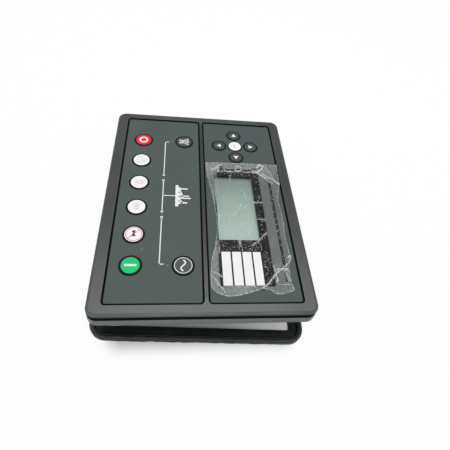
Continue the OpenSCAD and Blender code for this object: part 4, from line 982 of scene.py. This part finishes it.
# Circuit boards and their parts
# Two green glass-fibre boards with a black link between them. The main one carries relays,
# measuring transformers, capacitors, a choke and the processor.
dress(surface_finish("board_green", (0.018, 0.13, 0.065), 0.35, mottle=0.25, patch=300.0, grain=1200.0),
      "display_board", "main_board")
dress(surface_finish("link_black", (0.018, 0.019, 0.022), 0.4), "board_link_header", "board_link_socket")
dress(surface_finish("chip_resin", (0.014, 0.015, 0.016), 0.5, grain=2400.0), "processor_chip")
dress(surface_finish("copper_wire", (0.55, 0.22, 0.08), 0.35, metal=1.0, patch=900.0, mottle=0.3),
      "supply_choke")
dress(surface_finish("relay_blue", (0.025, 0.035, 0.16), 0.3), "relay_1", "relay_2", "relay_3")
dress(surface_finish("core_varnish", (0.20, 0.11, 0.035), 0.45, mottle=0.3, patch=400.0),
      "current_transformer_1", "current_transformer_2", "current_transformer_3")
dress(surface_finish("capacitor_sleeve", (0.02, 0.035, 0.09), 0.3), "capacitor_1", "capacitor_2")

# Rear case
# A moulded tray in near-black plastic with a coarser skin than the bezel, closed by a soft ring
# and held by four screws at its corners.
dress(surface_finish("case_skin", (0.022, 0.024, 0.025), 0.5, mottle=0.18, grain=1100.0, depth=0.04),
      "rear_case")
dress(surface_finish("seal_foam", (0.014, 0.014, 0.015), 0.8, grain=800.0, depth=0.08), "case_seal")
dress(surface_finish("screw_zinc", (0.60, 0.61, 0.62), 0.3, metal=1.0, grain=600.0, depth=0.01),
      "case_screws", "board_screws")

# Terminal headers and sockets
# Green plug-in headers with tinned pins, and two metal-shelled sockets, in two rows on the back.
dress(surface_finish("header_green", (0.020, 0.16, 0.065), 0.4, mottle=0.1, grain=1300.0),
      *["terminal_header_" + letter for letter in "abcdef"])
dress(surface_finish("tinned_pin", (0.66, 0.65, 0.60), 0.25, metal=1.0), "terminal_pins")
dress(surface_finish("socket_nickel", (0.60, 0.61, 0.62), 0.28, metal=1.0, grain=700.0, depth=0.01),
      "usb_socket", "serial_socket")

# Panel gasket
# A loose ring of soft black rubber that lies under the bezel: a thin ribbed flange inside a taller
# lip with a groove along its top. One moulded profile runs round a rectangle with round corners.
# painted light and shade by height: the lip top and rib tops lighter, the groove in the lip darker
gasket_light_and_shade = ((0.0, 0.6), (1.9, 0.5), (2.4, 1.3), (3.0, 0.8), (4.4, 0.45), (5.0, 1.0), (5.5, 2.2))
gasket_sizes = {"Length": 241.6 * mm, "Width": 181.6 * mm, "Corner": 14.5 * mm,
                "Turn": (0.0, 0.0, math.radians(-2.7)), "Place": (6.3 * mm, 1.5 * mm, 0.0),
                "Unevenness": 1.6 * mm}
corner_steps = 24
ring_step = 1.6 * mm
wander_scale = 160.0
gasket_smooth = 38.0
# Each point of the profile: how far in and how high in millimetres, and how uneven it is
gasket_profile = [(0.3, 0.0, 1.0), (0.0, 0.35, 1.0), (0.0, 1.8, 1.0), (0.3, 2.1, 0.5), (0.1, 2.4, 0.4),
                  (0.1, 3.9, 0.3), (0.45, 4.9, 0.3), (1.2, 5.45, 0.2), (2.2, 5.5, 0.2), (2.7, 5.2, 0.2),
                  (2.85, 4.4, 0.2), (3.15, 4.4, 0.2), (3.3, 5.0, 0.2), (3.8, 5.1, 0.2), (4.3, 4.7, 0.2),
                  (4.5, 4.0, 0.2), (4.5, 1.8, 0.2), (6.2, 1.8, 0.1), (6.35, 2.4, 0.1), (6.85, 2.4, 0.1),
                  (7.0, 1.8, 0.1), (7.9, 1.8, 0.1), (8.05, 2.4, 0.1), (8.55, 2.4, 0.1), (8.7, 1.8, 0.1),
                  (12.3, 1.8, 0.1), (12.3, 0.0, 0.1)][::-1]
gasket_black = surface_finish("gasket_black", (0.021, 0.029, 0.030), 0.5, mottle=0.35, patch=120.0,
                              grain=900.0, depth=0.05, shine=0.4)
toned_along(gasket_black, "Z", gasket_light_and_shade)
profile = bmesh.new()
corners = [profile.verts.new((-inward * mm, -up * mm, 0.0)) for inward, up, _ in gasket_profile]
for point, after in zip(corners, corners[1:] + corners[:1]):
    profile.edges.new((point, after))
gasket = new_piece("gasket_ring", profile, gasket_black)
spread_values(gasket, "uneven", "POINT", [share for _, _, share in gasket_profile])
moulding, given, out = new_tree("mould_ring", {"Length": "Float", "Width": "Float", "Corner": "Float",
                                               "Turn": "Vector", "Place": "Vector", "Unevenness": "Float"})
section = add_node(moulding, "GeometryNodeMeshToCurve")
outline = add_node(moulding, "GeometryNodeCurvePrimitiveQuadrilateral")
rounded = add_node(moulding, "GeometryNodeFilletCurve", mode="POLY")
rounded.inputs["Count"].default_value = corner_steps
steps = add_node(moulding, "GeometryNodeResampleCurve", mode="LENGTH")
steps.inputs["Length"].default_value = ring_step
level = add_node(moulding, "GeometryNodeSetCurveNormal", mode="Z_UP")
swept = add_node(moulding, "GeometryNodeCurveToMesh")
uneven = add_node(moulding, "GeometryNodeInputNamedAttribute", {"Name": "uneven"}, data_type="FLOAT")
wander = add_node(moulding, "ShaderNodeTexNoise", {"Scale": wander_scale, "Detail": 3.0})
centred = add_node(moulding, "ShaderNodeVectorMath", {1: (0.5, 0.5, 0.5)}, operation="SUBTRACT")
flat_only = add_node(moulding, "ShaderNodeVectorMath", {1: (1.0, 1.0, 0.0)}, operation="MULTIPLY")
sized = add_node(moulding, "ShaderNodeMath", operation="MULTIPLY")
offset = add_node(moulding, "ShaderNodeVectorMath", operation="SCALE")
moved = add_node(moulding, "GeometryNodeSetPosition")
soft = add_node(moulding, "GeometryNodeSetShadeSmooth")
laid = add_node(moulding, "GeometryNodeTransform")
made = add_node(moulding, "GeometryNodeRealizeInstances")
coloured = add_node(moulding, "GeometryNodeSetMaterial", {"Material": gasket_black})
chain(moulding, outline, rounded, steps, level, swept, moved, soft, laid, made, coloured, out)
chain(moulding, centred, flat_only, offset)
wire(moulding, (given, "Geometry", section, "Mesh"), (given, "Length", outline, "Width"),
     (given, "Width", outline, "Height"), (given, "Corner", rounded, "Radius"),
     (section, "Curve", swept, "Profile Curve"), (wander, "Color", centred, "Vector"),
     (given, "Unevenness", sized, 0), (uneven, "Attribute", sized, 1), (sized, 0, offset, "Scale"),
     (offset, "Vector", moved, "Offset"), (given, "Turn", laid, "Rotation"),
     (given, "Place", laid, "Translation"))
grow(gasket, moulding, gasket_sizes)
gasket.data.set_sharp_from_angle(angle=math.radians(gasket_smooth))
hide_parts("panel_gasket")
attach(gasket, "root")
